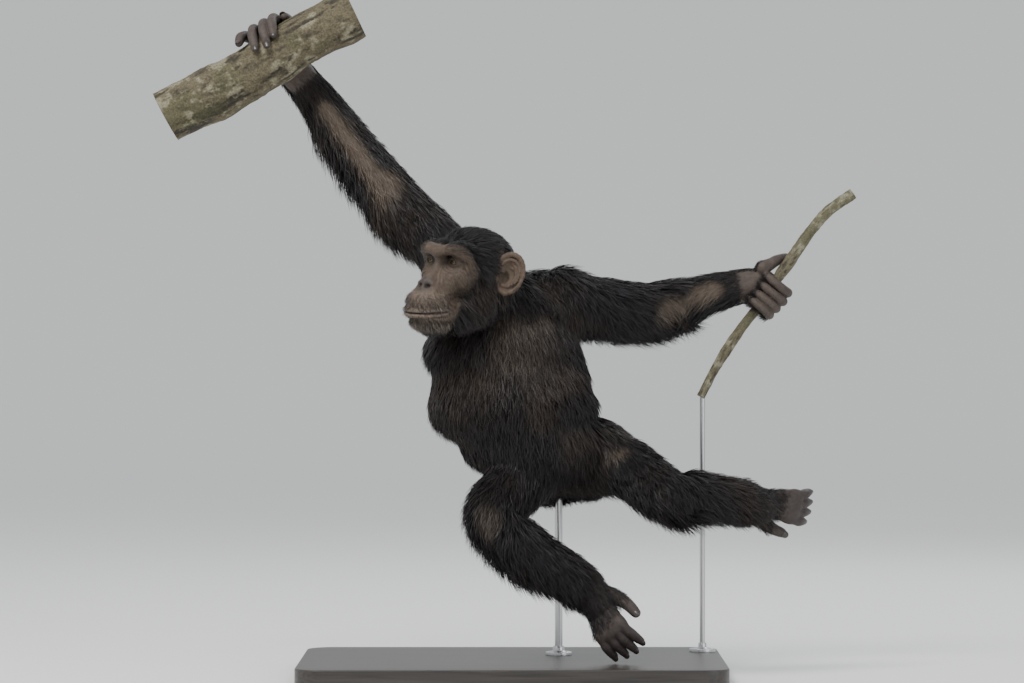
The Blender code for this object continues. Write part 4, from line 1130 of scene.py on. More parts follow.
def make_nails():
    """A thin curved plate on the back of every finger and toe tip."""
    ticks = np.linspace(-1, 1, NAIL_ROW)
    across, along = np.meshgrid(ticks, ticks)
    u = (across * np.sqrt(np.clip(1 - along**2 / 2, 0, 1))).ravel()
    v = (along * np.sqrt(np.clip(1 - across**2 / 2, 0, 1))).ravel()
    points = []
    for tip, way, up, radius in nails:
        side = np.cross(up, way)
        drop = radius * (1 - np.cos(u)) * 1.02 + 0.12 * radius * v**2
        across = np.outer(np.sin(u) * radius * 0.95, side)
        along = np.outer(v * (radius * 0.95) + radius * 0.30, way)
        for lift in (0.12, -0.10):
            height = radius * (0.90 + lift) - drop
            points.append(tip + across + along + np.outer(height, up))
    faces = [face for index in range(len(nails)) for face in nail_faces(2 * index * NAIL_ROW**2)]
    obj = mesh_object("nails", np.concatenate(points), np.array(faces))
    finish, tree, shader = new_material("nail", Base_Color=(0.030, 0.024, 0.022, 1), Roughness=0.34)
    shader.inputs["Coat Weight"].default_value = 0.15
    grain = object_noise(tree, Scale=420)
    colour_by(tree, shader, grain, (0.018, 0.014, 0.013), (0.060, 0.047, 0.040))
    obj.data.materials.append(finish)
    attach(obj, "root")


# The perches and the stand


def tube(rows, name):
    """A closed tube from rows of points, its ends filled by fans."""
    rows = [np.array(row) for row in rows]
    count = len(rows[0])
    points = np.concatenate([*rows, [rows[0].mean(0)], [rows[-1].mean(0)]])
    k = np.arange(count)
    after = (k + 1) % count
    faces = []
    for i in range(len(rows) - 1):
        a, b = i * count + k, i * count + after
        faces += [np.stack((a, b, b + count), 1), np.stack((a, b + count, a + count), 1)]
    faces.append(np.stack((np.full(count, len(points) - 2), after, k), 1))
    end = (len(rows) - 1) * count
    faces.append(np.stack((np.full(count, len(points) - 1), end + k, end + after), 1))
    return mesh_object(name, points, np.concatenate(faces))


def bark_height(around, along, seed, coarse, fine):
    """Ridged bark from 0 to 1: plates that run along the wood, cracked across."""
    flat, raised = np.zeros_like(along), np.ones_like(along)
    place = np.stack((around / coarse, along / (coarse * 3.6), flat), axis=-1).reshape(-1, 3)
    small = np.stack((around / fine, along / (fine * 2.2), raised), axis=-1).reshape(-1, 3)
    wander = (cloud(place * 0.6, 1.0, seed + 5)[:, None] - 0.5) * 1.4
    big = 1 - np.abs(2 * cloud(place + wander, 1.0, seed) - 1)
    little = 1 - np.abs(2 * cloud(small + wander, 1.0, seed + 1) - 1)
    return (0.62 * big**1.4 + 0.38 * little).reshape(around.shape)


def make_perch(node, middles, radii, sides, relief, coarse, fine, tones, seed):
    """A length of wood with bark relief and lichen, and its sawn ends."""
    middles, radii = np.array(middles), np.array(radii)
    ways = np.gradient(middles, axis=0)
    ways /= np.linalg.norm(ways, axis=1)[:, None]
    first = np.cross(ways, AWAY)
    first /= np.linalg.norm(first, axis=1)[:, None]
    second = np.cross(ways, first)
    run = np.concatenate([[0], np.cumsum(np.linalg.norm(np.diff(middles, axis=0), axis=1))])
    turn = np.linspace(0, 2 * math.pi, sides, endpoint=False)
    ring = np.stack((np.cos(turn), np.sin(turn)), 1)
    reach = radii.mean()
    along = np.repeat(run[:, None], sides, axis=1)
    flat = [np.tile(ring[:, k] * reach, (len(run), 1)) for k in range(2)]
    lump = np.stack((*flat, along), -1).reshape(-1, 3)
    arc = np.tile(np.abs(turn - math.pi) * reach, (len(run), 1))
    other = np.tile(np.minimum(turn, 2 * math.pi - turn) * reach, (len(run), 1)) + 3.0
    front = smoothstep(0.25, 0.75, np.tile((1 - np.cos(turn)) / 2, (len(run), 1)))
    height = bark_height(arc, along, seed, coarse, fine) * front
    height = height + bark_height(other, along, seed, coarse, fine) * (1 - front)
    swell = 0.5 * cloud(lump, reach * 1.4, seed + 7).reshape(height.shape) - 0.25
    radius = radii[:, None] + relief * (height - 0.62) + relief * 1.2 * swell
    out = first[:, None] * ring[None, :, :1] + second[:, None] * ring[None, :, 1:]
    rows = middles[:, None] + radius[..., None] * out
    for share in (0.995, 0.97):
        start = middles[0] + (rows[0] - middles[0]) * share
        end = middles[-1] + (rows[-1] - middles[-1]) * share
        rows = np.concatenate([[start], rows, [end]])
        height = np.concatenate([height[:1], height, height[-1:]])
        lump = np.concatenate([lump[:sides], lump, lump[-sides:]])
    wood = tube(list(rows), node + "_wood")
    tone = height.ravel()
    patches = cloud(lump, 0.020, seed + 11) * 0.65 + cloud(lump, 0.006, seed + 12) * 0.35
    lichen = smoothstep(0.56, 0.70, patches) * smoothstep(0.35, 0.7, tone)
    moss = smoothstep(0.50, 0.75, cloud(lump, 0.045, seed + 13))
    dark, mid, pale, green = (np.array(t) for t in tones)
    # darker down in the bark's cracks: partly the bark's own colour, partly painted shade
    colours = dark + (mid - dark) * smoothstep(0.25, 0.72, tone)[:, None]
    colours += (green - colours) * (0.45 * moss)[:, None]
    colours += (pale - colours) * (0.75 * lichen)[:, None]
    colours = np.concatenate([colours, [(0.33, 0.24, 0.15)], [(0.33, 0.24, 0.15)]])
    colours[:sides] = colours[-2 - sides : -2] = (0.30, 0.21, 0.13)
    paint_points(wood, colours)
    wood.data.materials.append(bark_material(node, 900 if sides > 60 else 1500))
    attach(wood, "root")
    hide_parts(node)


def bark_material(name, scale):
    finish, tree, shader = new_material(name, Roughness=0.86)
    grain = object_noise(tree, Scale=scale / 3, Detail=6)
    tinted(tree, shader, grain, 0.55, 1.40)
    bumped(tree, shader, grain.outputs["Fac"], 0.8, 0.0012)
    return finish


def make_branch():
    reach = np.linspace(*BRANCH_REACH, 230)
    bend = 0.004 * np.sin(21 * reach)
    swell = 1 + 0.035 * np.sin(47 * reach + 1.0) + 0.02 * np.sin(95 * reach)
    middles = BRANCH_GRIP + np.outer(reach, BRANCH_AXIS) + np.outer(bend, BRANCH_UP)
    radii = BRANCH_RADIUS * swell * (1 - 0.25 * reach) * 0.985
    tones = ((0.026, 0.022, 0.014), (0.105, 0.088, 0.052), (0.24, 0.22, 0.15), (0.072, 0.074, 0.032))
    make_perch("branch_perch", middles, radii, 150, 0.0036, 0.011, 0.0036, tones, 21)


def make_stem():
    stations = []
    for index, point in enumerate(STEM_LINE):
        knot = 1.16 if index in (3, 7) else 1.0
        stations.append((*point, STEM_RADIUS * knot * (1.18 - 0.035 * index)))
    line = np.array(rounded(stations, 22))
    tones = ((0.034, 0.028, 0.018), (0.125, 0.110, 0.068), (0.27, 0.255, 0.18), (0.090, 0.090, 0.045))
    make_perch("stem_perch", line[:, :3], line[:, 3] * 0.96, 40, 0.0016, 0.0042, 0.0018, tones, 31)


BASE_SIZE = (0.76, 0.52, 0.030)
BASE_CORNER = 0.05
BODY_ROD = ((0.085, 0.075, 0.325), 0.007)
STEM_ROD = ((0.350, 0.150, 0.508), 0.005)
FLANGE_RADIUS = 0.024
FLANGE_HEIGHT = 0.008
SCREW_RING = 0.0175  # from the rod's middle to each screw's
SCREW_PROFILE = [(0.0030, 0), (0.0030, 0.0007), (0.0024, 0.0013), (0.0014, 0.0015), (0.0013, 0.0007)]


def make_base():
    """A flat board with rounded corners and softened edges."""
    outline = []
    for index, (sx, sy) in enumerate(((1, 1), (-1, 1), (-1, -1), (1, -1))):
        for step in range(17):
            angle = math.radians(90 * index + 90 / 16 * step)
            corner_x = sx * (BASE_SIZE[0] / 2 - BASE_CORNER)
            corner_y = sy * (BASE_SIZE[1] / 2 - BASE_CORNER)
            outline.append((corner_x, corner_y, math.cos(angle), math.sin(angle)))
    centre_x, centre_y, out_x, out_y = np.array(outline).T
    edge = 0.0025
    profile = [(edge * 0.6, 0.0), (edge * 0.2, edge * 0.25), (0, edge)]
    for step in range(6):
        angle = math.radians(90 * step / 5)
        profile.append((edge * (1 - math.cos(angle)), BASE_SIZE[2] - edge + edge * math.sin(angle)))
    profile.append((0.06, BASE_SIZE[2]))
    rows = []
    for inset, z in profile:
        reach = BASE_CORNER - min(inset, BASE_CORNER * 0.9)
        level = np.full(len(outline), z)
        rows.append(np.column_stack((centre_x + out_x * reach, centre_y + out_y * reach, level)))
    base = tube(rows, "base_board")
    base.data.set_sharp_from_angle(angle=math.radians(50))
    finish, tree, shader = new_material("base_board", Roughness=0.42)
    shader.inputs["Coat Weight"].default_value = 0.12
    shader.inputs["Coat Roughness"].default_value = 0.25
    grain = stretched_noise(tree, (6, 160, 160), Detail=7, Distortion=0.6)
    colour_by(tree, shader, grain, (0.020, 0.017, 0.015), (0.052, 0.044, 0.038), 0.32, 0.72)
    bumped(tree, shader, grain.outputs["Fac"], 0.25, 0.0004)
    base.data.materials.append(finish)
    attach(base, "root")
    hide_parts("stand_base")


def turned_rows(x, y, floor, profile, sides):
    """Rings round an upright line at (x, y): one for each (radius, height above floor)."""
    turn = np.linspace(0, 2 * math.pi, sides, endpoint=False)
    return [
        np.column_stack((x + r * np.cos(turn), y + r * np.sin(turn), np.full(sides, floor + h)))
        for r, h in profile
    ]


def make_rod(node, top, radius, finish):
    """A turned steel rod in a round flange with three screws."""
    x, y, z = top
    floor = BASE_SIZE[2] + 0.0003
    lip = 0.0012
    shoulder = FLANGE_HEIGHT * 0.55
    profile = [(FLANGE_RADIUS, 0), (FLANGE_RADIUS, shoulder)]
    for a in np.radians((30, 60, 90)):
        profile.append((FLANGE_RADIUS - lip * (1 - math.cos(a)), shoulder + lip * math.sin(a)))
    profile += [
        (radius * 2.1, FLANGE_HEIGHT * 0.72),
        (radius * 1.55, FLANGE_HEIGHT),
        (radius * 1.45, FLANGE_HEIGHT * 1.9),
        (radius * 1.36, FLANGE_HEIGHT * 2.0),
        (radius, FLANGE_HEIGHT * 2.0),
        (radius, z - floor - 0.001),
        (radius * 0.8, z - floor),
    ]
    rod = tube(turned_rows(x, y, floor, profile, 48), node + "_steel")
    rod.data.set_sharp_from_angle(angle=math.radians(35))
    rod.data.materials.append(finish)
    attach(rod, "root")
    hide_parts(node)
    height = floor + FLANGE_HEIGHT * 0.64
    for k in range(3):
        angle = math.radians(120 * k + 90)
        cx, cy = x + SCREW_RING * math.cos(angle), y + SCREW_RING * math.sin(angle)
        screw = tube(turned_rows(cx, cy, height, SCREW_PROFILE, 16), f"{node}_screw_{k + 1}")
        screw.data.set_sharp_from_angle(angle=math.radians(35))
        screw.data.materials.append(finish)
        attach(screw, "root")


def steel_material():
    steel_tone = (0.56, 0.56, 0.57, 1)
    finish, tree, shader = new_material("stand_steel", Base_Color=steel_tone, Metallic=1.0, Roughness=0.3)
    brush = stretched_noise(tree, (60, 60, 1600))
    spread = add_node(tree, "MapRange", To_Min=0.22, To_Max=0.42)
    tree.links.new(brush.outputs["Fac"], spread.inputs["Value"])
    tree.links.new(spread.outputs["Result"], shader.inputs["Roughness"])
    return finish


# The studio


def area_light(name, place, aim, size, power, colour=(1, 1, 1)):
    data = bpy.data.lights.new(name, "AREA")
    data.shape = "RECTANGLE"
    data.size, data.size_y = size
    data.energy = power
    data.color = colour
    light = bpy.data.objects.new(name, data)
    light.location = place
    light.rotation_euler = (Vector(aim) - Vector(place)).to_track_quat("-Z", "Y").to_euler()
    bpy.context.scene.collection.objects.link(light)


CAMERA_PLACE = (0.0, -7.0, 0.60)
PIXEL = 0.0018  # metres across one pixel of the photograph, at the animal's distance
PICTURE_WIDTH = 1024
SENSOR = 36
FLOOR_SIDES = 96


def make_studio():
    scene = bpy.context.scene
    camera = bpy.data.objects.new("camera", bpy.data.cameras.new("camera"))
    camera.location = CAMERA_PLACE
    camera.rotation_euler = (math.radians(90), 0, 0)
    camera.data.sensor_width = SENSOR
    camera.data.lens = SENSOR * -CAMERA_PLACE[1] / (PICTURE_WIDTH * PIXEL)
    scene.collection.objects.link(camera)
    scene.camera = camera

    world = bpy.data.worlds.new("studio")
    world.use_nodes = True
    sky = world.node_tree.nodes["Background"].inputs
    sky["Color"].default_value = (0.86, 0.88, 0.90, 1)
    sky["Strength"].default_value = 0.85
    scene.world = world
    area_light("key", (-1.7, -2.3, 4.0), (0, 0, 0.7), (1.8, 1.8), 170, (1.0, 0.98, 0.95))
    area_light("fill", (3.2, -3.0, 1.6), (0, 0, 0.6), (2.5, 2.5), 40, (0.93, 0.96, 1.0))
    area_light("rim", (1.6, 2.8, 3.0), (0, 0, 0.7), (2.8, 2.0), 45, (0.93, 0.97, 1.0))
    make_floor()


def make_floor():
    """A pale bowl: flat under the stand and rising far behind it."""
    profile = [(0.5, 0), (4, 0), (9, 0)]
    profile += [(9 + 6 * math.sin(a), 6 - 6 * math.cos(a)) for a in np.radians(range(6, 66, 6))]
    rows = turned_rows(0, 0, 0, profile, FLOOR_SIDES)
    points = np.concatenate([[(0, 0, 0)], *rows])
    k = np.arange(FLOOR_SIDES)
    after = (k + 1) % FLOOR_SIDES
    faces = [np.stack((np.zeros(FLOOR_SIDES, int), 1 + k, 1 + after), 1)]
    for i in range(len(rows) - 1):
        a, b = 1 + i * FLOOR_SIDES + k, 1 + i * FLOOR_SIDES + after
        faces += [np.stack((a, a + FLOOR_SIDES, b + FLOOR_SIDES), 1), np.stack((a, b + FLOOR_SIDES, b), 1)]
    floor = mesh_object("floor", points, np.concatenate(faces))
    finish, _, _ = new_material("studio_floor", Base_Color=(0.86, 0.86, 0.85, 1), Roughness=0.9)
    floor.data.materials.append(finish)


# The coat: tufts of flat tapering blades that leave the skin along the lie of the hair


def smoothstep(low, high, value):
    share = np.clip((value - low) / (high - low), 0.0, 1.0)
    return share * share * (3 - 2 * share)


def lattice(cells, seed):
    """A repeatable random number from 0 to 1 for each row of whole numbers."""
    mixed = cells.astype(np.int64) * np.array((73856093, 19349663, 83492791))
    value = (mixed[..., 0] ^ mixed[..., 1] ^ mixed[..., 2]) + seed * 2654435761
    value = (value ^ (value >> 13)) * 1274126177 & 0x7FFFFFFF
    value = (value ^ (value >> 11)) * 668265263 & 0x7FFFFFFF
    return (value >> 7 & 0xFFFF) / 65535.0


def cloud(points, size, seed=0):
    """Smooth noise from 0 to 1 over the points, with features about size across."""
    place = points / size
    cell = np.floor(place)
    part = place - cell
    part = part * part * (3 - 2 * part)
    total = np.zeros(len(points))
    for corner in np.ndindex(2, 2, 2):
        weight = np.prod(np.where(corner, part, 1 - part), axis=1)
        total += weight * lattice(cell + corner, seed)
    return total


def nearest_clump(points, size, seed):
    """The jittered lattice point nearest to each point: the middle of its clump."""
    cell = np.floor(points / size)
    best = np.full(len(points), np.inf)
    middle = np.zeros_like(points)
    for step in np.ndindex(3, 3, 3):
        there = cell + np.array(step) - 1
        jitter = np.stack([lattice(there, seed + k) for k in range(3)], axis=1)
        spot = (there + jitter) * size
        gap = ((spot - points) ** 2).sum(1)
        nearer = gap < best
        best[nearer] = gap[nearer]
        middle[nearer] = spot[nearer]
    return middle


class Lie:
    """How the hair grows near one length of bone: from, to, flesh radius, direction and hair sizes."""

    def __init__(self, piece, start, end, radius, way, length, lift, **more):
        fringe = more.get("fringe", (0, 0, -1))
        extra = more.get("extra", 0.0)
        dense = more.get("dense", 1.0)
        self.piece = piece
        self.start, self.end = np.array(start, float), np.array(end, float)
        self.radius = radius
        self.way = unit(way)
        self.length, self.lift = length, lift
        self.fringe, self.extra, self.dense = unit(fringe), extra, dense

    def gap(self, points):
        step = self.end - self.start
        share = np.clip((points - self.start) @ step / max(step @ step, 1e-9), 0, 1)
        return np.linalg.norm(points - self.start - share[:, None] * step, axis=1) / self.radius


def limb_lie(piece, stations, first, last, fall, length, lift, back=False, **more):
    start, end = np.array(stations[first][:3]), np.array(stations[last][:3])
    way = unit(start - end if back else end - start) * (1 - fall) + np.array((0, 0, -1)) * fall
    radius = skin_radius((stations[first][3] + stations[last][3]) / 2)
    return Lie(piece, start, end, radius, way, length, lift, **more)


def head_lie(start, end, radius, way, length, lift, dense=2.0):
    """A lie on the head, its places and direction in the head's frame."""
    ends = in_head(*start), in_head(*end)
    return Lie("head", *ends, radius, HEAD_AXES @ way, length, lift, dense=dense)


def coat_lies():
    low_left = (-0.8, 0.1, -0.6)
    under = (-0.2, 0.1, -1.0)
    rows = [
        limb_lie("arm_right", RIGHT_ARM, 3, 5, 0.15, 0.034, 24, back=True, fringe=low_left, extra=1.0),
        limb_lie("arm_right", RIGHT_ARM, 5, 7, 0.10, 0.020, 18, back=True, fringe=low_left, extra=0.7),
        limb_lie("arm_right", RIGHT_ARM, 1, 3, 0.30, 0.040, 22, back=True, fringe=low_left, extra=0.6),
        limb_lie("arm_right", RIGHT_ARM, 0, 1, 0.40, 0.044, 20, back=True),
        limb_lie("arm_left", LEFT_ARM, 3, 5, 0.40, 0.034, 22, back=True, fringe=under, extra=0.8),
        limb_lie("arm_left", LEFT_ARM, 5, 7, 0.15, 0.020, 18, back=True, fringe=under, extra=0.6),
        limb_lie("arm_left", LEFT_ARM, 0, 3, 0.40, 0.044, 20, fringe=under, extra=0.6),
        limb_lie("leg_right", RIGHT_LEG, 0, 2, 0.35, 0.040, 22, fringe=low_left, extra=0.4),
        limb_lie("leg_right", RIGHT_LEG, 2, 4, 0.35, 0.038, 24, fringe=low_left, extra=0.6),
        limb_lie("leg_right", RIGHT_LEG, 4, 6, 0.25, 0.024, 22, fringe=low_left, extra=0.5),
        limb_lie("leg_left", LEFT_LEG, 0, 2, 0.40, 0.040, 22, fringe=under, extra=0.5),
        limb_lie("leg_left", LEFT_LEG, 2, 4, 0.30, 0.038, 26, fringe=under, extra=0.3),
        limb_lie("leg_left", LEFT_LEG, 4, 6, 0.20, 0.024, 22, fringe=under, extra=0.4),
        Lie("chest", (-0.06, 0.03, 0.66), (-0.08, 0.02, 0.56), 0.085, (-0.12, 0.0, -1), 0.044, 18),
        Lie("chest", (0.05, 0.03, 0.66), (0.06, 0.02, 0.56), 0.085, (0.12, 0.0, -1), 0.044, 18),
        Lie("belly", (-0.05, 0.0, 0.52), (-0.03, 0.0, 0.46), 0.095, (0.10, 0.0, -1), 0.044, 20),
        Lie("belly", (0.07, 0.0, 0.52), (0.09, 0.0, 0.46), 0.085, (0.20, 0.0, -1), 0.044, 20),
        Lie("hips", (0.04, 0.03, 0.41), (0.11, 0.05, 0.38), 0.085, (0.25, 0.1, -1), 0.042, 22),
        Lie("chest", NECK[0][0], NECK[0][0], 0.060, (0.15, 0.3, -1), 0.045, 18),
        head_lie((-4, 0, 3), (-12, 0, 2.0), 0.050, (-1, 0, -0.30), 0.026, 17),
        head_lie((-12.5, 0, 1.5), (-13, 0, -4), 0.045, (-0.45, 0, -1), 0.036, 20),
    ]
    for side in (1, -1):
        temple = ((-4.0, 4.5 * side, 1.5), (-9, 5.0 * side, 2.0))
        cheek = ((-4.0, 4.6 * side, -2), (-5.0, 4.2 * side, -5))
        jaw = ((-2.0, 3.0 * side, -8.5), (-5, 3.0 * side, -8))
        rows.append(head_lie(*temple, 0.030, (-1, 0.1 * side, -0.45), 0.026, 17))
        rows.append(head_lie(*cheek, 0.030, (-0.5, 0.25 * side, -1), 0.030, 24))
        rows.append(head_lie(*jaw, 0.030, (-0.75, 0.25 * side, -1), 0.034, 24))
    rows.append(head_lie((1.0, 0, -11.0), (-3.5, 0, -9.5), 0.022, (-0.6, 0, -1), 0.026, 24, dense=1.6))
    return rows


def spot(points, centre, radii, soft=0.4):
    """1 near centre, falling to 0 past the ellipsoid of radii."""
    gap = np.linalg.norm((points - np.array(centre)) / np.array(radii), axis=1)
    return 1 - smoothstep(1 - soft, 1 + soft, gap)


def streak(points, start, end, radius, soft=0.4):
    start, end = np.array(start), np.array(end)
    step = end - start
    share = np.clip((points - start) @ step / (step @ step), 0, 1)
    gap = np.linalg.norm(points - start - share[:, None] * step, axis=1) / radius
    return 1 - smoothstep(1 - soft, 1 + soft, gap)


def tan_mark(points, normals):
    """From 0 to 1 where the hair is tan and thin: the insides of the elbows, the chest, groin and knee; on
    the chest partly a painted pool of light.
    """
    front = smoothstep(0.1, 0.7, -normals[:, 1])
    right = np.maximum(
        streak(points, (-0.245, 0.045, 0.895), (-0.345, 0.060, 1.030), 0.017, 0.5),
        spot(points, (-0.236, 0.040, 0.893), (0.030, 0.030, 0.034)),
    )
    left = np.maximum(
        streak(points, (0.262, 0.092, 0.664), (0.375, 0.128, 0.696), 0.019, 0.5),
        spot(points, (0.272, 0.090, 0.666), (0.036, 0.03, 0.022)),
    )
    # the chest's tan: partly the thin hair's own colour, partly a painted pool of light
    chest = np.maximum(
        0.34 * spot(points, (0.006, -0.080, 0.606), (0.050, 0.06, 0.058)),
        0.20 * streak(points, (0.012, -0.09, 0.60), (0.045, -0.11, 0.47), 0.026, 0.7),
    )
    groin = 0.95 * spot(points, (0.182, -0.045, 0.408), (0.020, 0.03, 0.013), 0.6)
    knee = 0.55 * spot(points, (-0.040, -0.160, 0.300), (0.026, 0.04, 0.030), 0.6)
    armpit = 0.5 * spot(points, (0.045, -0.035, 0.650), (0.020, 0.05, 0.022), 0.6)
    mark = np.max((right, left, chest, groin, knee, armpit), axis=0)
    return mark * np.where(chest >= mark - 1e-6, smoothstep(0.0, 0.5, -normals[:, 1]), front)


def face_mark(points):
    """From 0 on the haired head to 1 on the bare face."""
    forward, left, up = head_place(points).T
    edge = np.interp(up, (-11.5, -8, -3, 0, 2.2), (0.2, -0.9, -3.2, -3.9, -2.2))
    edge = edge + 0.10 * np.abs(left) * (up > 0)
    crown = smoothstep(2.75, 3.35, up - 0.25 * (forward + 0.5))
    bare = smoothstep(-0.7, 0.5, forward - edge) * (1 - crown)
    under = smoothstep(-11.3, -12.3, up)
    near = (np.abs(left) < 7.6) & (up > -13.5) & (up < 5.5) & (forward < 8) & (forward > -6.5)
    return np.where(near, bare * (1 - under), 0.0)


def ear_mark(points):
    """From 0 off the ears to 1 on them."""
    mark = np.zeros(len(points))
    for side in (1, -1):
        ear = Ear(side)
        across, along, lift = ((points - ear.middle) @ ear.axes / ear.size).T
        reach = np.hypot(across, along)
        near = (reach < 1.25) & (np.abs(lift) < 0.020) & (across > -0.95)
        mark = np.maximum(mark, np.where(near, smoothstep(0.020, 0.012, lift), 0.0))
    return mark


def palm_mark(points, normals):
    """From 0 on the haired wrists and backs to 1 on the palms, soles and digits."""
    mark = np.zeros(len(points))
    for stations, palm, back_reach in HANDS:
        point, way = end_of(stations)
        offset = points - point
        along = offset @ way
        near = np.linalg.norm(offset, axis=1) < 0.19
        palmward = normals @ unit(palm)
        reach = np.where(palmward > 0.15, -0.006, back_reach)
        mark = np.maximum(mark, np.where(near, smoothstep(-0.012, 0.012, along - reach), 0.0))
    return mark


TUFTS = 262000
MOST_TUFTS = 39500  # in one piece of the coat
BLADE_WIDTH = 0.0012
CLUMP = 0.010
BAKE_PATCH = 0.003  # the width of a tuft's patch on its texture map
GUIDE_CELL = 0.010


def triangles_of(mesh):
    mesh.calc_loop_triangles()
    corners = np.zeros(len(mesh.loop_triangles) * 3, np.int32)
    mesh.loop_triangles.foreach_get("vertices", corners)
    points = np.zeros(len(mesh.vertices) * 3, np.float32)
    mesh.vertices.foreach_get("co", points)
    normals = np.zeros(len(mesh.vertices) * 3, np.float32)
    mesh.vertex_normals.foreach_get("vector", normals)
    return points.reshape(-1, 3).astype(float), normals.reshape(-1, 3).astype(float), corners.reshape(-1, 3)


def scatter(mesh, weigh, count, seed):
    """Random places on a mesh as (points, normals), as dense as weigh(points, normals) says."""
    points, normals, corners = triangles_of(mesh)
    a, b, c = (points[corners[:, k]] for k in range(3))
    area = np.linalg.norm(np.cross(b - a, c - a), axis=1) / 2
    middle_normals = normals[corners].mean(1)
    weight = area * weigh((a + b + c) / 3, middle_normals)
    steps = np.cumsum(weight)
    draw = np.random.default_rng(seed)
    chosen = np.searchsorted(steps, (np.arange(count) + draw.random(count)) / count * steps[-1])
    chosen = np.minimum(chosen, len(corners) - 1)
    u, v = draw.random((2, count))
    fold = u + v > 1
    u[fold], v[fold] = 1 - u[fold], 1 - v[fold]
    share = np.stack((1 - u - v, u, v), axis=1)[:, :, None]
    roots = (points[corners[chosen]] * share).sum(1)
    ups = (normals[corners[chosen]] * share).sum(1)
    return roots, ups / np.linalg.norm(ups, axis=1)[:, None], draw


def blended_lie(points, rows):
    """The share of every row of the coat's lie at each point."""
    gaps = np.stack([row.gap(points) for row in rows], axis=1)
    weights = np.maximum(gaps, 0.05) ** -7.0
    return weights / weights.sum(1)[:, None]


def normalised(vectors):
    return vectors / np.maximum(np.linalg.norm(vectors, axis=1), 1e-9)[:, None]


def blades(roots, ups, ways, length, width, lift, clump, draw):
    """Seven points for each tuft: two at its root, two at each of two bends, and its tip."""
    count = len(roots)
    flat = normalised(ways - ups * (ways * ups).sum(1)[:, None])
    rise = np.radians(lift * draw.uniform(0.6, 1.5, count))[:, None]
    start = flat * np.cos(rise) + ups * np.sin(rise)
    turn = draw.normal(0, 0.16, count)[:, None]
    sideways = np.cross(ups, flat)
    end = normalised(flat + sideways * turn + ups * np.sin(rise) * 0.35 + np.array((0, 0, -0.22)))
    start = normalised(start + sideways * draw.normal(0, 0.12, count)[:, None])
    middle = nearest_clump(roots, clump, 5)
    pull = middle - roots
    pull -= ups * (pull * ups).sum(1)[:, None]
    pull *= draw.uniform(0.35, 0.85, count)[:, None]
    wave = sideways * (draw.normal(0, 0.10, count) * length)[:, None]
    twist = draw.uniform(-1.1, 1.1, count)
    rows = []
    for share, wide in ((-0.03, 0.75), (0.34, 1.0), (0.70, 0.72), (1.0, 0.0)):
        bend = share * abs(share) / 2
        here = roots + length[:, None] * (start * (share - bend) + end * bend)
        here = here + pull * max(share, 0) ** 1.6 + wave * math.sin(math.pi * share)
        heading = normalised(start * (1 - share) + end * share)
        across = normalised(np.cross(heading, ups))
        over = np.cross(across, heading)
        across = across * np.cos(twist)[:, None] + over * np.sin(twist)[:, None]
        half = across * (width * wide / 2)[:, None]
        rows += [here - half, here + half] if wide else [here]
    return np.stack(rows, axis=1)


BLADE_FACES = np.array(((0, 1, 3, 2), (2, 3, 5, 4)))
BLADE_TIP = np.array((4, 5, 6))
PAINTED_ROOT_SHADE = np.array((0.80, 0.80, 0.95, 0.95, 1.08, 1.08, 1.15))  # painted shade: darker at the root, where the other hairs shade it
BLADE_SPREAD = np.array(
    ((-0.5, 0), (0.5, 0), (-0.5, 0.34), (0.5, 0.34), (-0.5, 0.7), (0.5, 0.7), (0.0, 1))
)


def tuft_object(name, tufts, tints, patches, finish):
    """One mesh of many tufts, each with its tint and its patch on the texture map."""
    count = len(tufts)
    first = (np.arange(count) * 7)[:, None, None]
    corners = np.concatenate(
        [
            (first + BLADE_FACES[:, [0, 1, 2]]).reshape(count, -1),
            (first + BLADE_FACES[:, [0, 2, 3]]).reshape(count, -1),
            (first[:, 0] + BLADE_TIP).reshape(count, -1),
        ],
        axis=1,
    ).reshape(-1, 3)
    made = mesh_object(name, tufts.reshape(-1, 3), corners)
    mesh = made.data
    tint = mesh.color_attributes.new("tint", "FLOAT_COLOR", "POINT")
    colours = np.ones((count, 7, 4), np.float32)
    # each tuft's tint carries painted shade towards its root
    colours[:, :, :3] = tints[:, None, :] * PAINTED_ROOT_SHADE[None, :, None]
    tint.data.foreach_set("color", colours.ravel())
    places = (patches[:, None, :] + BLADE_SPREAD[None] * BAKE_PATCH).reshape(-1, 2)
    layer = mesh.uv_layers.new(name="OFBake")
    layer.uv.foreach_set("vector", places[corners.ravel()].astype(np.float32).ravel())
    mesh.materials.append(finish)
    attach(made, "root")
    return made


class Unwrap:
    """Texture places for tufts, read from an unwrap of a coarse copy of the skin."""

    def __init__(self):
        coarse = sculpt(Field((-0.50, -0.25, 0.02), (0.56, 0.21, 1.21), GUIDE_CELL))
        points, quads = coarse.mesh(lambda p: np.ones(len(p), bool))
        guide = mesh_object("unwrap_guide", points, quads)
        bpy.context.view_layer.objects.active = guide
        guide.select_set(True)
        bpy.ops.object.mode_set(mode="EDIT")
        bpy.ops.mesh.select_all(action="SELECT")
        bpy.ops.uv.smart_project(angle_limit=math.radians(66), island_margin=0.004)
        bpy.ops.object.mode_set(mode="OBJECT")
        places = np.zeros(len(guide.data.loops) * 2, np.float32)
        guide.data.uv_layers.active.data.foreach_get("uv", places)
        corners = np.zeros(len(guide.data.loops), np.int32)
        guide.data.loops.foreach_get("vertex_index", corners)
        self.places = places.reshape(-1, 4, 2)
        self.corners = points[corners].reshape(-1, 4, 3)
        self.tree = BVHTree.FromPolygons([tuple(p) for p in points], quads.tolist())
        bpy.data.objects.remove(guide)

    def patches(self, roots):
        faces = np.array([self.tree.find_nearest(tuple(root))[2] for root in roots])
        gaps = np.linalg.norm(self.corners[faces] - roots[:, None, :], axis=2) + 1e-5
        weights = gaps**-2 / (gaps**-2).sum(1)[:, None]
        return (self.places[faces] * weights[:, :, None]).sum(1)


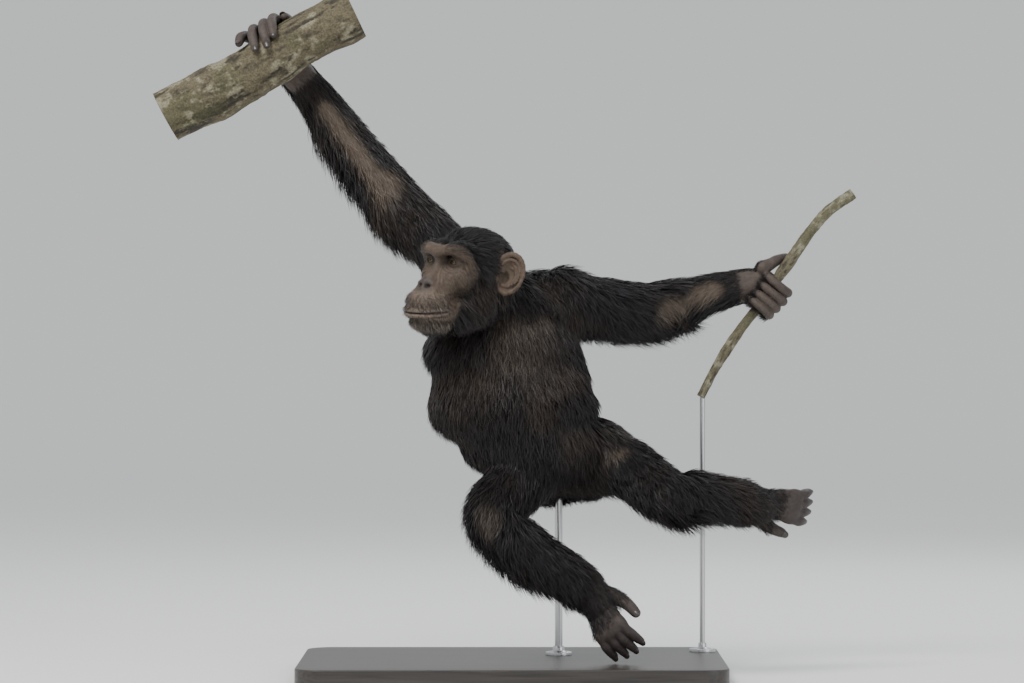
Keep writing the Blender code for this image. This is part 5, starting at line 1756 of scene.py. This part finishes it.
def wrist_mark(points):
    """From 0 on the limbs to 1 on the hands and feet."""
    mark = np.zeros(len(points))
    for stations in LIMBS:
        point, way = end_of(stations)
        near = np.linalg.norm(points - point, axis=1) < 0.19
        mark = np.maximum(mark, np.where(near, smoothstep(-0.045, 0.025, (points - point) @ way), 0.0))
    return mark


def coat_colours(roots, normals, draw):
    """Near black with a painted blue sheen, browner in places, tan where tan_mark says."""
    # painted sheen: the slight blue in this near-black colour
    black = np.array((0.0105, 0.0105, 0.0130))
    brown = np.array((0.040, 0.027, 0.018))
    tan = np.array((0.150, 0.118, 0.092))
    share = 0.55 * cloud(roots, 0.05, 3) ** 2 + 0.30 * draw.random(len(roots)) ** 3
    # browner on the chest: partly the hair's own brown, partly a painted pool of light
    share = share + 0.25 * spot(roots, (0.02, -0.06, 0.58), (0.09, 0.10, 0.10), 0.8)
    made = black + (brown - black) * np.clip(share, 0, 1)[:, None]
    mark = tan_mark(roots, normals) * (0.75 + 0.35 * draw.random(len(roots)))
    made = made + (tan - made) * np.clip(mark - 0.12, 0, 1)[:, None]
    return made * (0.75 + 0.5 * draw.random(len(roots)))[:, None]


def make_coat(skin, unwrap):
    rows = coat_lies()

    def weigh(points, normals):
        shares = blended_lie(points, rows)
        dense = shares @ np.array([row.dense for row in rows])
        bare = np.maximum.reduce([face_mark(points), ear_mark(points), palm_mark(points, normals)])
        return dense * np.clip(1 - bare, 0, 1) ** 1.5 * (1 - 0.62 * tan_mark(points, normals))

    roots, ups, draw = scatter(skin.data, weigh, TUFTS, 7)
    shares = blended_lie(roots, rows)

    def mixed(values):
        return shares @ np.array(values, float)

    ways = normalised(mixed([row.way for row in rows]))
    fringes = normalised(mixed([row.fringe for row in rows]))
    facing = np.clip((ups * fringes).sum(1), 0, 1) ** 2
    extra = mixed([row.extra for row in rows]) * facing
    mark = tan_mark(roots, ups)
    edge = np.maximum.reduce([face_mark(roots), ear_mark(roots), palm_mark(roots, ups)])
    length = mixed([row.length for row in rows]) * (1 + extra) * draw.uniform(0.65, 1.2, TUFTS)
    length *= (1 - 0.45 * mark) * (1 - 0.5 * edge) * (1 - 0.55 * wrist_mark(roots))
    lift = mixed([row.lift for row in rows]) * (1 + 0.9 * extra)
    width = BLADE_WIDTH * np.clip(length / 0.036, 0.45, 1.15) * draw.uniform(0.75, 1.25, TUFTS)
    tufts = blades(roots, ups, ways, length, width, lift, CLUMP, draw)
    tints = coat_colours(roots, ups, draw)
    patches = unwrap.patches(roots)
    finish = coat_material()
    names = sorted({row.piece for row in rows})
    index = np.array([names.index(row.piece) for row in rows])[shares.argmax(1)]
    for number, name in enumerate(names):
        chosen = np.flatnonzero(index == number)
        parts = max(1, math.ceil(len(chosen) / MOST_TUFTS))
        for part, some in enumerate(np.array_split(chosen, parts)):
            title = f"coat_{name}" + (f"_{part + 1}" if parts > 1 else "")
            tuft_object(title, tufts[some], tints[some], patches[some], finish)
    make_face_hair(skin, unwrap, finish)


FACE_HAIRS = 11000


def make_face_hair(skin, unwrap, finish):
    """Short hairs on the bare face and the ears: a pale beard, and dark down on brow and cheeks."""

    def beard(points):
        forward, left, up = head_place(points).T
        chin = smoothstep(-9.9, -10.6, up) * smoothstep(-1.0, 1.0, forward)
        lip = 0.28 * smoothstep(-5.3, -6.8, up) * smoothstep(-8.9, -8.5, up) * smoothstep(0.5, 2.0, forward)
        return chin + lip

    def weigh(points, normals):
        forward, left, up = head_place(points).T
        side = np.abs(left)
        on_face = face_mark(points) > 0.25
        cheek = 0.75 * smoothstep(1.0, -3.5, forward) + 0.25 * smoothstep(-4.0, -8.0, up)
        brow = 0.6 * smoothstep(1.0, 2.0, up)
        nose = (side < 2.2) & (forward > 0.5) & (up > -5.6)
        eyes = np.hypot(side - 2.75, up) < 1.6
        rim = 0.35 * ear_mark(points)
        return on_face * ~nose * ~eyes * (1.3 * beard(points) + cheek + brow + 0.12) + rim

    roots, ups, draw = scatter(skin.data, weigh, FACE_HAIRS, 13)
    forward, left, up = head_place(roots).T
    turn = np.sign(left) * np.clip(np.abs(left) / 3, 0, 1)
    high = smoothstep(0.8, 2.2, up)[:, None]
    low = np.stack((-0.25 - 0.5 * smoothstep(2, -3, forward), 0.5 * turn, -np.ones(len(up))), 1)
    raised = np.stack((-0.8 * np.ones(len(up)), 0.9 * turn, 0.35 * np.ones(len(up))), 1)
    ways = normalised((low * (1 - high) + raised * high) @ HEAD_AXES.T)
    pale = beard(roots)
    length = draw.uniform(0.0045, 0.0085, FACE_HAIRS) * (1 + 0.9 * np.clip(pale, 0, 1))
    width = np.full(FACE_HAIRS, BLADE_WIDTH * 0.32)
    lift = np.full(FACE_HAIRS, 26.0) + 14 * np.clip(pale, 0, 1)
    tufts = blades(roots, ups, ways, length, width, lift, 0.004, draw)
    white = (draw.random(FACE_HAIRS) < 0.03 + 0.50 * pale)[:, None]
    tints = np.where(white, (0.17, 0.14, 0.115), (0.012, 0.010, 0.009))
    tints = tints * draw.uniform(0.7, 1.3, (FACE_HAIRS, 1))
    tuft_object("coat_face", tufts, tints, unwrap.patches(roots), finish)


def coat_material():
    finish, tree, shader = new_material("coat", Roughness=0.54)
    shader.inputs["Specular IOR Level"].default_value = 0.32
    tint = add_node(tree, "VertexColor", {"layer_name": "tint"})
    tree.links.new(tint.outputs["Color"], shader.inputs["Base Color"])
    return finish


FLESH = [
    "head", "ear_left", "ear_right", "neck", "chest", "belly", "pelvis",
    "upper_arm_left", "upper_arm_right", "forearm_left", "forearm_right", "hand_left", "hand_right",
    "thigh_left", "thigh_right", "shin_left", "shin_right", "foot_left", "foot_right",
]

skin = make_skin()
make_coat(skin, Unwrap())
make_eye("left", 1)
make_eye("right", -1)
make_nails()
make_branch()
make_stem()
make_base()
steel = steel_material()
make_rod("stand_rod_body", *BODY_ROD, steel)
make_rod("stand_rod_stem", *STEM_ROD, steel)
make_studio()
